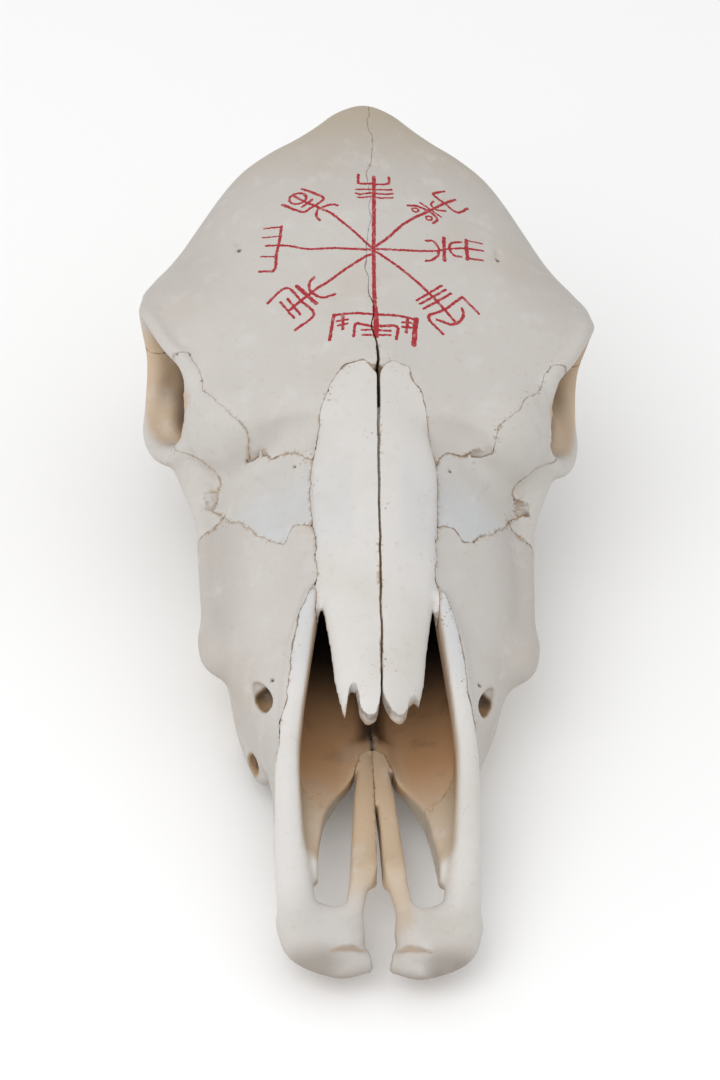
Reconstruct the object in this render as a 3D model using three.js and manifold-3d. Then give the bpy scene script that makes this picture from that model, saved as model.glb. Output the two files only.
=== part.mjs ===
// Cow skull, polled, adult. Millimetres, +Z up, nose towards -Y, poll towards +Y.
// The skull is shaped as a smooth distance field, turned into a mesh, thinned, and parted into its bones.
import * as THREE from "three";
import Module from "manifold-3d";

const wasm = await Module();
wasm.setup();

const CELL = 3.3; // grid step of the field
const TARGET_TRIANGLES = 9400; // after thinning, before the bones are parted
const GAP = 0.3; // between bones that touch
const LOW = [-123.4, -5.1, -9.3];
const HIGH = [123.5, 475.2, 193.4];
const FAR = 200;

// Curves and blends.

// Smooth curve through (station, value) pairs.
function curve(points) {
  const n = points.length;
  const s = points.map((p) => p[0]);
  const v = points.map((p) => p[1]);
  const m = s.map((_, i) => {
    const a = Math.max(i - 1, 0);
    const b = Math.min(i + 1, n - 1);
    return (v[b] - v[a]) / (s[b] - s[a]);
  });
  return (at) => {
    const t = Math.min(Math.max(at, s[0]), s[n - 1]);
    let i = 0;
    while (i < n - 2 && t >= s[i + 1]) i++;
    const h = s[i + 1] - s[i];
    const u = (t - s[i]) / h;
    const uu = u * u;
    const uuu = uu * u;
    const rise = (uuu - 2 * uu + u) * h * m[i] + (uuu - uu) * h * m[i + 1];
    return (2 * uuu - 3 * uu + 1) * v[i] + (3 * uu - 2 * uuu) * v[i + 1] + rise;
  };
}

const line = (a, b) => curve([a, b]);

function join(a, b, k) {
  const h = Math.max(k - Math.abs(a - b), 0) / k;
  return Math.min(a, b) - h * h * k * 0.25;
}

function both(a, b, k) {
  const h = Math.max(k - Math.abs(a - b), 0) / k;
  return Math.max(a, b) + h * h * k * 0.25;
}

const cut = (a, b, k) => both(a, -b, k);

// Forms: each has a box that holds it and a distance function.

// Coordinates about c in axes turned by degrees about z, then y, then x.
function turned(c, turn) {
  const [rx, ry, rz] = turn.map((a) => (a * Math.PI) / 180);
  const [sx, cx, sy, cy, sz, cz] = [Math.sin(rx), Math.cos(rx), Math.sin(ry), Math.cos(ry), Math.sin(rz), Math.cos(rz)];
  return (px, py, pz) => {
    let x = px - c[0];
    let y = py - c[1];
    let z = pz - c[2];
    [x, y] = [x * cz + y * sz, -x * sz + y * cz];
    [z, x] = [z * cy + x * sy, -z * sy + x * cy];
    [y, z] = [y * cx + z * sx, -y * sx + z * cx];
    return [x, y, z];
  };
}

function egg(c, r, turn = [0, 0, 0]) {
  const local = turned(c, turn);
  const reach = Math.max(...r);
  const box = [c.map((v) => v - reach), c.map((v) => v + reach)];
  const f = (px, py, pz) => {
    const [x, y, z] = local(px, py, pz);
    const k0 = Math.hypot(x / r[0], y / r[1], z / r[2]);
    const k1 = Math.hypot(x / r[0] ** 2, y / r[1] ** 2, z / r[2] ** 2);
    return (k0 * (k0 - 1)) / Math.max(k1, 1e-6);
  };
  return { box, f };
}

function slab(c, h, round, turn = [0, 0, 0]) {
  const local = turned(c, turn);
  const reach = Math.hypot(...h);
  const box = [c.map((v) => v - reach), c.map((v) => v + reach)];
  const f = (px, py, pz) => {
    const [x, y, z] = local(px, py, pz);
    const qx = Math.abs(x) - h[0] + round;
    const qy = Math.abs(y) - h[1] + round;
    const qz = Math.abs(z) - h[2] + round;
    const out = Math.hypot(Math.max(qx, 0), Math.max(qy, 0), Math.max(qz, 0));
    return out + Math.min(Math.max(qx, qy, qz), 0) - round;
  };
  return { box, f };
}

// Smooth rows between the given ones.
function spline(rows, per, closed) {
  const n = rows.length;
  const out = [];
  for (let i = 0; i < (closed ? n : n - 1); i++) {
    const b = rows[i];
    const c = rows[(i + 1) % n];
    const a = closed ? rows[(i + n - 1) % n] : i ? rows[i - 1] : b.map((v, j) => 2 * v - c[j]);
    const d = closed ? rows[(i + 2) % n] : i + 2 < n ? rows[i + 2] : c.map((v, j) => 2 * v - b[j]);
    for (let k = 0; k < per; k++) {
      const t = k / per;
      out.push(
        b.map((v, j) => {
          const bend = (2 * a[j] - 5 * v + 4 * c[j] - d[j]) * t * t;
          return 0.5 * (2 * v + (c[j] - a[j]) * t + bend + (3 * v - a[j] - 3 * c[j] + d[j]) * t ** 3);
        }),
      );
    }
  }
  out.push(closed ? rows[0] : rows[n - 1]);
  return out;
}

// Tube through rows (x, y, z, radius), flattened along the axes.
function sweep(rows, flat = [1, 1, 1], per = 5, closed = false) {
  const s = spline(rows, per, closed);
  const box = [0, 1].map((side) =>
    [0, 1, 2].map((i) => {
      const ends = s.map((p) => p[i] + (side ? 1 : -1) * p[3] * flat[i]);
      return side ? Math.max(...ends) : Math.min(...ends);
    }),
  );
  const pieces = s.slice(1).map((b, i) => {
    const a = s[i];
    const from = [0, 1, 2].map((j) => a[j] / flat[j]);
    const d = [0, 1, 2].map((j) => b[j] / flat[j] - from[j]);
    return [...from, ...d, d[0] ** 2 + d[1] ** 2 + d[2] ** 2, a[3], b[3] - a[3]];
  });
  const thin = Math.min(...flat);
  const f = (px, py, pz) => {
    const x = px / flat[0];
    const y = py / flat[1];
    const z = pz / flat[2];
    let best = 1e9;
    for (const [ax, ay, az, dx, dy, dz, dd, r, dr] of pieces) {
      const t = Math.min(Math.max(((x - ax) * dx + (y - ay) * dy + (z - az) * dz) / dd, 0), 1);
      const q = Math.sqrt((x - ax - t * dx) ** 2 + (y - ay - t * dy) ** 2 + (z - az - t * dz) ** 2);
      best = Math.min(best, q - r - dr * t);
    }
    return best * thin;
  };
  return { box, f };
}

// Upright wall of changing half width along rows (x, y, half width), between two levels.
function wall(rows, low, high, per = 5) {
  const tube = sweep(rows.map(([x, y, r]) => [x, y, 0, r]), [1, 1, 1], per);
  const [lo, hi] = tube.box;
  const box = [[lo[0], lo[1], low], [hi[0], hi[1], high]];
  return { box, f: (x, y, z) => Math.max(tube.f(x, y, 0), z - high, low - z) };
}

// Body along y whose section is a superellipse with its own half width, widest level, top and bottom at each y.
function loft(span, half, level, top, low, upper, lower, cap) {
  const box = [[-FAR, span[0], -FAR], [FAR, span[1], FAR]];
  const f = (x, y, z) => {
    const w = half(y);
    const c = level(y);
    const dz = z - c;
    const up = dz > 0;
    const h = up ? top(y) - c : c - low(y);
    const n = up ? upper(y) : lower(y);
    const q = ((Math.abs(x) / w) ** n + (Math.abs(dz) / h) ** n) ** (1 / n);
    const d = q > 1e-3 ? ((q - 1) * Math.hypot(x, dz)) / q : -Math.min(w, h);
    return both(d, Math.max(span[0] - y, y - span[1]), cap);
  };
  return { box, f };
}

// The field on a grid.

const count = LOW.map((v, i) => Math.ceil((HIGH[i] - v) / CELL) + 1);
const field = new Float32Array(count[0] * count[1] * count[2]).fill(40);
const at = (i, j, k) => (i * count[1] + j) * count[2] + k;

// Blend a form into the field. A paired form is made on both sides.
function blend(how, form, k, paired = true) {
  const pad = k + 2 * CELL;
  const [lo, hi] = form.box;
  const span = [0, 1, 2].map((i) => {
    const a = i === 0 && paired ? -hi[0] : lo[i];
    const from = Math.max(Math.floor((a - pad - LOW[i]) / CELL), 0);
    const to = Math.min(Math.ceil((hi[i] + pad - LOW[i]) / CELL), count[i] - 1);
    return [from, to];
  });
  for (let i = span[0][0]; i <= span[0][1]; i++) {
    const x = paired ? Math.abs(LOW[0] + i * CELL) : LOW[0] + i * CELL;
    if (paired && x < lo[0] - pad) continue;
    for (let j = span[1][0]; j <= span[1][1]; j++) {
      const y = LOW[1] + j * CELL;
      for (let m = span[2][0]; m <= span[2][1]; m++) {
        const n = at(i, j, m);
        field[n] = how(field[n], form.f(x, y, LOW[2] + m * CELL), k);
      }
    }
  }
}

const add = (form, k, paired) => blend(join, form, k, paired);
const take = (form, k, paired) => blend(cut, form, k, paired);

// Stations along y, from the nose tip at 0 to the poll at 466.

// Midline profile of the roof, nasal tips to poll.
const DORSAL = curve([
  [96, 80], [130, 94], [165, 105], [200, 116], [235, 128], [262, 137], [281, 144], [310, 153],
  [340, 162], [370, 170], [400, 177], [430, 183], [450, 184.5], [466, 182],
]);
const NASAL_HALF = curve([
  [98, 16], [107, 17.2], [123, 21], [137, 22.6], [163, 26.4], [194, 29], [232, 31], [247, 28.8],
  [260, 26], [272, 22], [282, 15], [288, 8],
]);
const BAR_INNER = curve([
  [40, 27], [62, 30], [80, 33.5], [97, 35], [115, 34.5], [130, 32.5], [146, 30], [158, 28], [170, 26.5],
]);

const face = loft(
  [100, 316],
  curve([
    [90, 46.5], [108, 48], [125, 53], [145, 62], [160, 68], [175, 74], [195, 77], [225, 78], [255, 79],
    [270, 79.5], [285, 82], [305, 84], [320, 78],
  ]),
  curve([[90, 32], [108, 36], [145, 44], [171, 52], [220, 60], [255, 66], [290, 78], [320, 90]]),
  curve([[90, 56], [108, 70], [130, 84], [165, 99], [200, 111], [235, 124], [262, 134], [281, 141], [320, 153]]),
  curve([[90, 20], [108, 20], [125, 18], [200, 18], [255, 19], [275, 26], [292, 40], [320, 56]]),
  curve([[90, 2.6], [125, 2.4], [165, 1.6], [220, 1.45], [262, 1.5], [320, 2]]),
  curve([[90, 3.5], [125, 3.2], [320, 4]]),
  14,
);

const muzzle = loft(
  [46, 146],
  curve([[40, 43], [62, 45.5], [90, 46], [110, 47.5], [130, 53], [150, 60]]),
  curve([[40, 25], [62, 26], [90, 29], [130, 36], [150, 42]]),
  curve([[40, 33], [62, 42], [90, 56], [120, 74], [150, 88]]),
  curve([[40, 20], [62, 19.5], [150, 19]]),
  line([40, 2.4], [150, 2.4]),
  line([40, 3.2], [150, 3.2]),
  10,
);

const roof = loft(
  [262, 466],
  curve([
    [255, 62], [280, 84], [300, 97], [320, 108], [335, 114.5], [346, 115.5], [360, 110.5], [370, 104.5],
    [380, 98.5], [399, 87.5], [414, 77.5], [424, 68], [431, 57], [437, 45], [445, 33], [454, 23], [466, 14],
  ]),
  curve([
    [255, 118], [280, 124], [300, 130], [331, 136], [346, 135], [360, 133], [380, 135], [399, 141],
    [414, 148], [427, 157], [437, 165], [454, 172], [466, 172],
  ]),
  DORSAL,
  curve([[255, 100], [290, 112], [330, 122], [370, 118], [400, 120], [430, 130], [466, 140]]),
  curve([[255, 1.6], [290, 1.55], [340, 1.55], [380, 1.55], [410, 1.75], [440, 2], [466, 2]]),
  line([255, 2], [466, 2]),
  12,
);

const braincase = loft(
  [280, 446],
  curve([[285, 26], [310, 36], [340, 46], [370, 53], [395, 58], [420, 64], [446, 66]]),
  line([285, 90], [446, 96]),
  line([285, 145], [450, 172]),
  curve([[285, 46], [340, 46], [400, 44], [446, 48]]),
  line([285, 2.6], [446, 2.6]),
  line([285, 2.4], [446, 2.6]),
  16,
);

const nasalCavity = loft(
  [52, 240],
  curve([[52, 32], [90, 36], [130, 38], [165, 41], [200, 42], [240, 38]]),
  curve([[52, 40], [90, 46], [130, 54], [165, 62], [240, 78]]),
  curve([[52, 60], [90, 72], [130, 80], [165, 92], [200, 103], [240, 112]]),
  curve([[60, 31], [90, 33], [130, 34], [165, 37], [235, 46]]),
  line([52, 2], [240, 2]),
  line([52, 2.8], [240, 2.8]),
  12,
);

// Arched plate of the two nasal bones, still in one and without their points.
const nasalPlate = {
  box: [[-34, 96, 70], [34, 290, 150]],
  f: (x, y, z) => {
    const w = NASAL_HALF(y);
    const crest = DORSAL(y) - 9 * Math.min(Math.abs(x) / w, 1.4) ** 2.2;
    const sheet = both(both((z - crest) * 0.93, (Math.abs(x) - w) * 0.95, 4), (crest - 6 - z) * 0.93, 4);
    return both(sheet, Math.max(98 - y, y - 287), 3);
  },
};

// Everything above the nasal floor ahead of the nasal notch.
const nasalOpening = {
  box: [[0, 0, 44], [37, 172, 120]],
  f: (x, y, z) => Math.max(x - BAR_INNER(y), y - 165 + Math.max(0, 20 - x) * 0.3, 44 - z),
};

add(face, 8);
add(muzzle, 8);
add(roof, 12);
// Facial tuber and crest, alveolar process.
add(egg([71.5, 174, 52], [11.5, 15, 12]), 9);
add(sweep([[76, 180, 56, 5], [79, 215, 62, 4.5], [81, 250, 69, 5], [88, 276, 78, 6]]), 8);
add(sweep([[45, 126, 27, 8], [52, 150, 28, 9.5], [55, 190, 29, 11], [55, 235, 30, 11], [50, 262, 32, 9]]), 7);
// Flared edge of the open sockets on the right.
add(sweep([[-49.5, 125.5, 17.5, 6.5], [-54, 141, 20, 7.5], [-56.5, 158, 24, 8.5], [-57, 176, 28, 9]]), 6, false);
// Shoulder ahead of the orbit.
add(egg([70, 277, 106], [24, 20, 27], [0, 0, 35]), 12);
// Orbits and temporal fossae.
take(egg([95, 310, 105], [44, 29, 24], [0, 0, -23]), 5);
take(egg([68, 330, 102], [26, 30, 20], [0, 0, -30]), 8);
take(egg([78, 372, 104], [24, 50, 24], [0, 0, 8]), 8);
take(egg([80, 366, 84], [22, 40, 24], [0, 0, 6]), 8);
// Braincase, back of the head and cranial base.
add(braincase, 12);
add(slab([0, 434, 108], [58, 15, 46], 14, [-4, 0, 0]), 14, false);
add(egg([60, 422, 92], [27, 17, 34]), 14);
add(
  sweep([[83, 412, 80, 6], [81, 423, 106, 6.5], [70, 428, 130, 7], [46, 438, 146, 8], [22, 451, 160, 8], [0, 457, 170, 9]]),
  12,
);
add(sweep([[0, 446, 50, 12], [0, 410, 49, 12], [0, 360, 50, 10], [0, 310, 54, 10]], [1.4, 1, 0.8]), 10, false);
// Rim of the orbit and the bar behind it.
add(
  sweep(
    [
      [112, 331, 136, 4], [102, 309, 134, 3.5], [91, 296, 130, 3.5], [89, 287, 113, 4], [88, 281, 98, 4.5],
      [95, 279, 87, 5], [103, 288, 80, 5], [108, 306, 77, 5], [107.5, 322, 84, 5], [106.5, 334, 104, 5.5],
      [110, 336, 124, 5.5],
    ],
    [1, 1, 1],
    5,
    true,
  ),
  6,
);
add(sweep([[104, 338, 131, 8], [101, 340, 112, 8], [100, 335, 90, 8]], [1, 0.9, 1]), 6);
// Zygomatic body and arch.
add(
  sweep(
    [
      [80, 262, 70, 7.5], [89, 281, 75, 7.5], [98, 304, 77, 8], [98, 324, 80, 7.5], [97, 348, 84, 5.5],
      [93, 376, 84, 6], [82, 402, 82, 8],
    ],
    [0.8, 1, 1.2],
  ),
  7,
);
// Vault of the palate, choanae and pterygoid plates.
take(slab([0, 190, 17], [38, 96, 9], 8), 6, false);
take(slab([0, 70, 14], [36, 70, 9], 7), 6, false);
take(slab([0, 302, 44], [15, 42, 17], 8), 5, false);
add(slab([21, 298, 46], [3.5, 28, 24], 3, [0, 0, 2]), 6);
add(sweep([[20, 312, 30, 4], [21, 326, 18, 2.5]], [1, 1, 1], 2), 4);
// Condyles and the great opening.
add(egg([27, 447, 57], [17, 17, 22], [0, -12, 18]), 6);
take(sweep([[0, 474, 76, 18], [0, 428, 74, 16]], [1, 1, 1], 1), 4, false);
take(slab([0, 464, 50], [8, 14, 16], 6), 6, false);
// Processes beside the condyles, bullae and ear openings.
add(sweep([[58, 424, 62, 11], [57, 424, 40, 8], [53, 421, 18, 6], [48, 417, -4, 4.5]], [0.8, 1.4, 1]), 8);
add(egg([45, 390, 40], [8, 16, 14], [0, 0, 20]), 6);
add(sweep([[62, 400, 68, 9], [88, 404, 78, 7]], [1, 1, 1], 1), 6);
take(sweep([[80, 403, 75, 3.5], [104, 405, 82, 3.5]], [1, 1, 1], 1), 2);
// Nasal processes of the incisive bones, nasal cavity and its opening.
add(
  sweep(
    [
      [37, 26, 24, 8.5], [38.5, 42, 30, 8.5], [39.5, 62, 38, 8], [40.5, 80, 46, 7.2], [41, 97, 54.5, 6.4],
      [40, 115, 64.5, 6], [38, 130, 73, 6], [35.5, 146, 82, 6], [33, 158, 88, 5.5], [30, 168, 93, 4.5],
    ],
    [1, 1, 0.8],
  ),
  5,
);
take(nasalCavity, 4);
take(nasalOpening, 3);
add(nasalPlate, 3, false);
take(egg([54, 134, 60.5], [4.5, 10, 4.2], [-16, 0, -18]), 2);
// Bodies and palatine processes of the incisive bones, and the palatine fissures.
add(egg([26, 20, 21], [19, 16, 7.5], [14, 0, -10]), 5);
add(sweep([[6.5, 9.5, 17, 5], [19, 7.5, 16.5, 5.5], [31, 14, 19, 5], [40.5, 26, 24, 4.5]], [1, 1.1, 0.9]), 5);
add(sweep([[16, 22, 23, 6], [12, 36, 26, 5.5], [8, 60, 29.5, 6], [5.5, 90, 32, 6], [4, 125, 34, 5]], [1, 1, 0.7]), 5);
add(slab([34, 92, 28], [11, 36, 4], 3, [0, 0, 2]), 6);
take(
  wall(
    [
      [19.6, 37.5, 5], [20.4, 47, 7.1], [20, 56, 7.6], [19.1, 66, 7.4], [18.1, 75, 7.1], [16.6, 84, 6.4], [13.6, 94, 4],
      [10, 103, 1.6], [8, 110, 0.5],
    ],
    0,
    52,
  ),
  1.5,
);
take(
  wall(
    [
      [0.4, -8, 6], [0.4, -3, 4], [0.4, 2, 2.2], [0.4, 10, 4.6], [0.4, 18, 5.2], [0.4, 27, 3.6], [0.5, 36, 1.5],
      [0.6, 45, 0.8], [1, 60, 0.5],
    ],
    0,
    60,
  ),
  2,
  false,
);
// Vomer.
add(sweep([[0.5, 128, 38, 3], [0.5, 170, 42, 3.5], [0, 235, 52, 5]], [0.8, 1, 1.6]), 5, false);

// Cheek teeth: front of the tooth, its length, inner and outer side, lobes.
const TEETH = [
  [124, 16.5, 35, 49, 1], [140.5, 17.5, 38, 54, 1], [158, 17, 40, 57.5, 1],
  [175, 25, 41, 62, 2], [200, 29, 42, 64.5, 2], [229, 31, 42, 65, 2],
];
const LOST_BEFORE = 158; // teeth ahead of this are lost on the right side
for (const [front, length, inner, outer, lobes] of TEETH) {
  for (let j = 0; j < lobes; j++) {
    const mid = front + (length * (j + 0.5)) / lobes;
    const half = length / lobes / 2 - 0.3;
    const across = (inner + outer) / 2;
    const crown = slab([across, mid, 7], [(outer - inner) / 2, half, 16], Math.min(half, 5));
    const ridge = sweep([[outer - 1.5, mid - half + 2, -6, 2.2], [outer - 0.5, mid - half + 2.4, 22, 2.4]], [1, 1, 1], 1);
    const furrow = sweep([[outer + 1.5, mid + 0.3, -6, 2.6], [outer + 2, mid + 0.3, 20, 2]], [1, 1, 1], 1);
    const f = (x, y, z) => {
      if (x < 0 && front < LOST_BEFORE) return FAR;
      const ax = Math.abs(x);
      return cut(join(crown.f(ax, y, z), ridge.f(ax, y, z), 2), furrow.f(ax, y, z), 2);
    };
    blend(Math.min, { box: [[-outer - 4, front, -9], [outer + 4, front + length, 24]], f }, 1, false);
  }
}
// Empty sockets of the lost teeth.
take(egg([-47, 132.5, 12], [6.5, 7.5, 16]), 2, false);
take(egg([-50.5, 149.5, 10], [7, 7.5, 15]), 2, false);

// Closed mesh of the zero surface: each grid cube is split into six tetrahedra.
function surface() {
  const STEPS = [[0, 0, 0], [1, 0, 0], [1, 1, 0], [0, 1, 0], [0, 0, 1], [1, 0, 1], [1, 1, 1], [0, 1, 1]];
  const TETS = [[0, 5, 1, 6], [0, 1, 2, 6], [0, 2, 3, 6], [0, 3, 7, 6], [0, 7, 4, 6], [0, 4, 5, 6]];
  const points = [];
  const faces = [];
  const known = new Map();
  const total = field.length;
  const spot = (n) => {
    const k = n % count[2];
    const j = Math.floor(n / count[2]) % count[1];
    const i = Math.floor(n / count[2] / count[1]);
    return [LOW[0] + i * CELL, LOW[1] + j * CELL, LOW[2] + k * CELL];
  };
  const crossing = (m, n) => {
    const [a, b] = m < n ? [m, n] : [n, m];
    const key = a * total + b;
    let id = known.get(key);
    if (id === undefined) {
      const t = Math.min(Math.max(field[a] / (field[a] - field[b]), 0.06), 0.94);
      const [p, q] = [spot(a), spot(b)];
      id = points.length / 3;
      for (let c = 0; c < 3; c++) points.push(p[c] + (q[c] - p[c]) * t);
      known.set(key, id);
    }
    return id;
  };
  for (let i = 0; i < count[0] - 1; i++)
    for (let j = 0; j < count[1] - 1; j++)
      for (let k = 0; k < count[2] - 1; k++) {
        const corners = STEPS.map(([a, b, c]) => at(i + a, j + b, k + c));
        const inside = corners.map((n) => field[n] < 0);
        if (inside.every((v) => v) || !inside.some((v) => v)) continue;
        for (const tet of TETS) {
          const ins = tet.filter((c) => inside[c]).map((c) => corners[c]);
          const outs = tet.filter((c) => !inside[c]).map((c) => corners[c]);
          if (!ins.length || !outs.length) continue;
          const ids =
            ins.length === 1
              ? outs.map((o) => crossing(ins[0], o))
              : outs.length === 1
                ? ins.map((o) => crossing(o, outs[0]))
                : [crossing(ins[0], outs[0]), crossing(ins[0], outs[1]), crossing(ins[1], outs[1]), crossing(ins[1], outs[0])];
          // Wind the faces so that they look away from the inside corners.
          const [a, b, c] = ids.slice(0, 3).map((v) => points.slice(3 * v, 3 * v + 3));
          const u = [b[0] - a[0], b[1] - a[1], b[2] - a[2]];
          const w = [c[0] - a[0], c[1] - a[1], c[2] - a[2]];
          const normal = [u[1] * w[2] - u[2] * w[1], u[2] * w[0] - u[0] * w[2], u[0] * w[1] - u[1] * w[0]];
          const p = spot(ins[0]);
          const side = normal[0] * (p[0] - a[0]) + normal[1] * (p[1] - a[1]) + normal[2] * (p[2] - a[2]);
          const order = side > 0 ? [...ids].reverse() : ids;
          for (let m = 2; m < order.length; m++) faces.push([order[0], order[m - 1], order[m]]);
        }
      }
  return { points, faces };
}

// Thin a closed mesh by folding its cheapest edges first, by the squared distance to the planes that meet there.
function thin({ points, faces }, target) {
  const n = points.length / 3;
  const quad = new Float64Array(10 * n);
  const around = Array.from({ length: n }, () => new Set());
  const normalOf = (a, b, c) => {
    const ux = points[3 * b] - points[3 * a];
    const uy = points[3 * b + 1] - points[3 * a + 1];
    const uz = points[3 * b + 2] - points[3 * a + 2];
    const vx = points[3 * c] - points[3 * a];
    const vy = points[3 * c + 1] - points[3 * a + 1];
    const vz = points[3 * c + 2] - points[3 * a + 2];
    return [uy * vz - uz * vy, uz * vx - ux * vz, ux * vy - uy * vx];
  };
  faces.forEach((f, i) => {
    const m = normalOf(...f);
    const area = Math.hypot(...m);
    f.forEach((v) => around[v].add(i));
    if (area < 1e-9) return;
    const [a, b, c] = m.map((v) => v / area);
    const d = -(a * points[3 * f[0]] + b * points[3 * f[0] + 1] + c * points[3 * f[0] + 2]);
    const k = [a * a, a * b, a * c, a * d, b * b, b * c, b * d, c * c, c * d, d * d];
    for (const v of f) for (let j = 0; j < 10; j++) quad[10 * v + j] += k[j] * area;
  });
  const cost = (q, x, y, z) =>
    q[0] * x * x + 2 * q[1] * x * y + 2 * q[2] * x * z + 2 * q[3] * x + q[4] * y * y + 2 * q[5] * y * z +
    2 * q[6] * y + q[7] * z * z + 2 * q[8] * z + q[9];
  const best = (u, v) => {
    const q = new Float64Array(10);
    for (let j = 0; j < 10; j++) q[j] = quad[10 * u + j] + quad[10 * v + j];
    const p = [0, 1, 2].map((c) => points[3 * u + c]);
    const r = [0, 1, 2].map((c) => points[3 * v + c]);
    const mid = p.map((c, i) => (c + r[i]) / 2);
    const size = Math.hypot(p[0] - r[0], p[1] - r[1], p[2] - r[2]);
    const det =
      q[0] * (q[4] * q[7] - q[5] * q[5]) - q[1] * (q[1] * q[7] - q[5] * q[2]) + q[2] * (q[1] * q[5] - q[4] * q[2]);
    const tries = [p, r, mid];
    if (Math.abs(det) > 1e-3 * (q[0] + q[4] + q[7]) ** 3 * 1e-3) {
      const x = -(q[3] * (q[4] * q[7] - q[5] ** 2) - q[1] * (q[6] * q[7] - q[5] * q[8]) + q[2] * (q[6] * q[5] - q[4] * q[8])) / det;
      const y = -(q[0] * (q[6] * q[7] - q[8] * q[5]) - q[3] * (q[1] * q[7] - q[5] * q[2]) + q[2] * (q[1] * q[8] - q[6] * q[2])) / det;
      const z = -(q[0] * (q[4] * q[8] - q[5] * q[6]) - q[1] * (q[1] * q[8] - q[6] * q[2]) + q[3] * (q[1] * q[5] - q[4] * q[2])) / det;
      if (Math.hypot(x - mid[0], y - mid[1], z - mid[2]) < size) tries.push([x, y, z]);
    }
    let found = null;
    for (const t of tries) {
      const e = cost(q, ...t) + 1e-4 * size * size;
      if (!found || e < found.e) found = { e, t };
    }
    return found;
  };
  const heap = [];
  const push = (item) => {
    let i = heap.length;
    heap.push(item);
    while (i > 0) {
      const up = (i - 1) >> 1;
      if (heap[up].e <= item.e) break;
      heap[i] = heap[up];
      i = up;
    }
    heap[i] = item;
  };
  const pop = () => {
    const top = heap[0];
    const last = heap.pop();
    if (heap.length) {
      let i = 0;
      for (;;) {
        let c = 2 * i + 1;
        if (c >= heap.length) break;
        if (c + 1 < heap.length && heap[c + 1].e < heap[c].e) c++;
        if (heap[c].e >= last.e) break;
        heap[i] = heap[c];
        i = c;
      }
      heap[i] = last;
    }
    return top;
  };
  const stamp = new Uint32Array(n);
  const gone = new Uint8Array(n);
  const neighbours = (v) => {
    const s = new Set();
    for (const i of around[v]) for (const w of faces[i]) if (w !== v) s.add(w);
    return s;
  };
  const offer = (u, v) => push({ ...best(u, v), u, v, su: stamp[u], sv: stamp[v] });
  for (let v = 0; v < n; v++) for (const w of neighbours(v)) if (v < w) offer(v, w);
  let left = faces.length;
  while (left > target && heap.length) {
    const { u, v, su, sv, t } = pop();
    if (gone[u] || gone[v] || stamp[u] !== su || stamp[v] !== sv) continue;
    const nu = neighbours(u);
    const nv = neighbours(v);
    let shared = 0;
    for (const w of nu) if (nv.has(w)) shared++;
    if (shared !== 2 || nu.size + nv.size < 9) continue;
    const old = [u, v].map((w) => [points[3 * w], points[3 * w + 1], points[3 * w + 2]]);
    const ring = [...around[u], ...around[v]].filter((i) => !(faces[i].includes(u) && faces[i].includes(v)));
    const before = ring.map((i) => normalOf(...faces[i]));
    for (const w of [u, v]) for (let c = 0; c < 3; c++) points[3 * w + c] = t[c];
    const turnedOver = ring.some((i, j) => {
      const a = before[j];
      const b = normalOf(...faces[i]);
      const [la, lb] = [Math.hypot(...a), Math.hypot(...b)];
      const dot = a[0] * b[0] + a[1] * b[1] + a[2] * b[2];
      return lb < 1e-3 || (la > 1e-3 && dot < 0.35 * la * lb);
    });
    if (turnedOver) {
      [u, v].forEach((w, i) => old[i].forEach((c, j) => (points[3 * w + j] = c)));
      continue;
    }
    for (const i of [...around[v]]) {
      if (faces[i].includes(u)) {
        for (const w of faces[i]) around[w].delete(i);
        faces[i] = null;
        left--;
      } else {
        faces[i] = faces[i].map((w) => (w === v ? u : w));
        around[u].add(i);
      }
    }
    gone[v] = 1;
    for (let j = 0; j < 10; j++) quad[10 * u + j] += quad[10 * v + j];
    stamp[u]++;
    for (const w of neighbours(u)) offer(Math.min(u, w), Math.max(u, w));
  }
  return { points, faces: faces.filter((f) => f) };
}

// Solids.

function solid(points, faces) {
  const ids = new Map();
  const verts = [];
  const tris = [];
  for (const f of faces)
    for (const v of f) {
      if (!ids.has(v)) {
        ids.set(v, verts.length / 3);
        verts.push(points[3 * v], points[3 * v + 1], points[3 * v + 2]);
      }
      tris.push(ids.get(v));
    }
  return new wasm.Manifold(
    new wasm.Mesh({ numProp: 3, vertProperties: new Float32Array(verts), triVerts: new Uint32Array(tris) }),
  );
}

// Prism over a closed outline. place(u, v, w) gives the point for an outline point (u, v) at depth w.
function prism(outline, from, to, place) {
  const pts = outline.map(([u, v]) => new THREE.Vector2(u, v));
  const turnedOver = THREE.ShapeUtils.isClockWise(pts);
  if (turnedOver) pts.reverse();
  const n = pts.length;
  const points = [];
  for (const w of [from, to]) for (const p of pts) points.push(...place(p.x, p.y, w));
  const caps = THREE.ShapeUtils.triangulateShape(pts, []);
  const faces = [];
  for (const [a, b, c] of caps) faces.push([a, c, b], [a + n, b + n, c + n]);
  for (let i = 0; i < n; i++) {
    const j = (i + 1) % n;
    faces.push([i, j, j + n], [i, j + n, i + n]);
  }
  const made = solid(points, faces);
  if (made.volume() > 0) return made;
  return solid(points, faces.map(([a, b, c]) => [a, c, b]));
}

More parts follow.
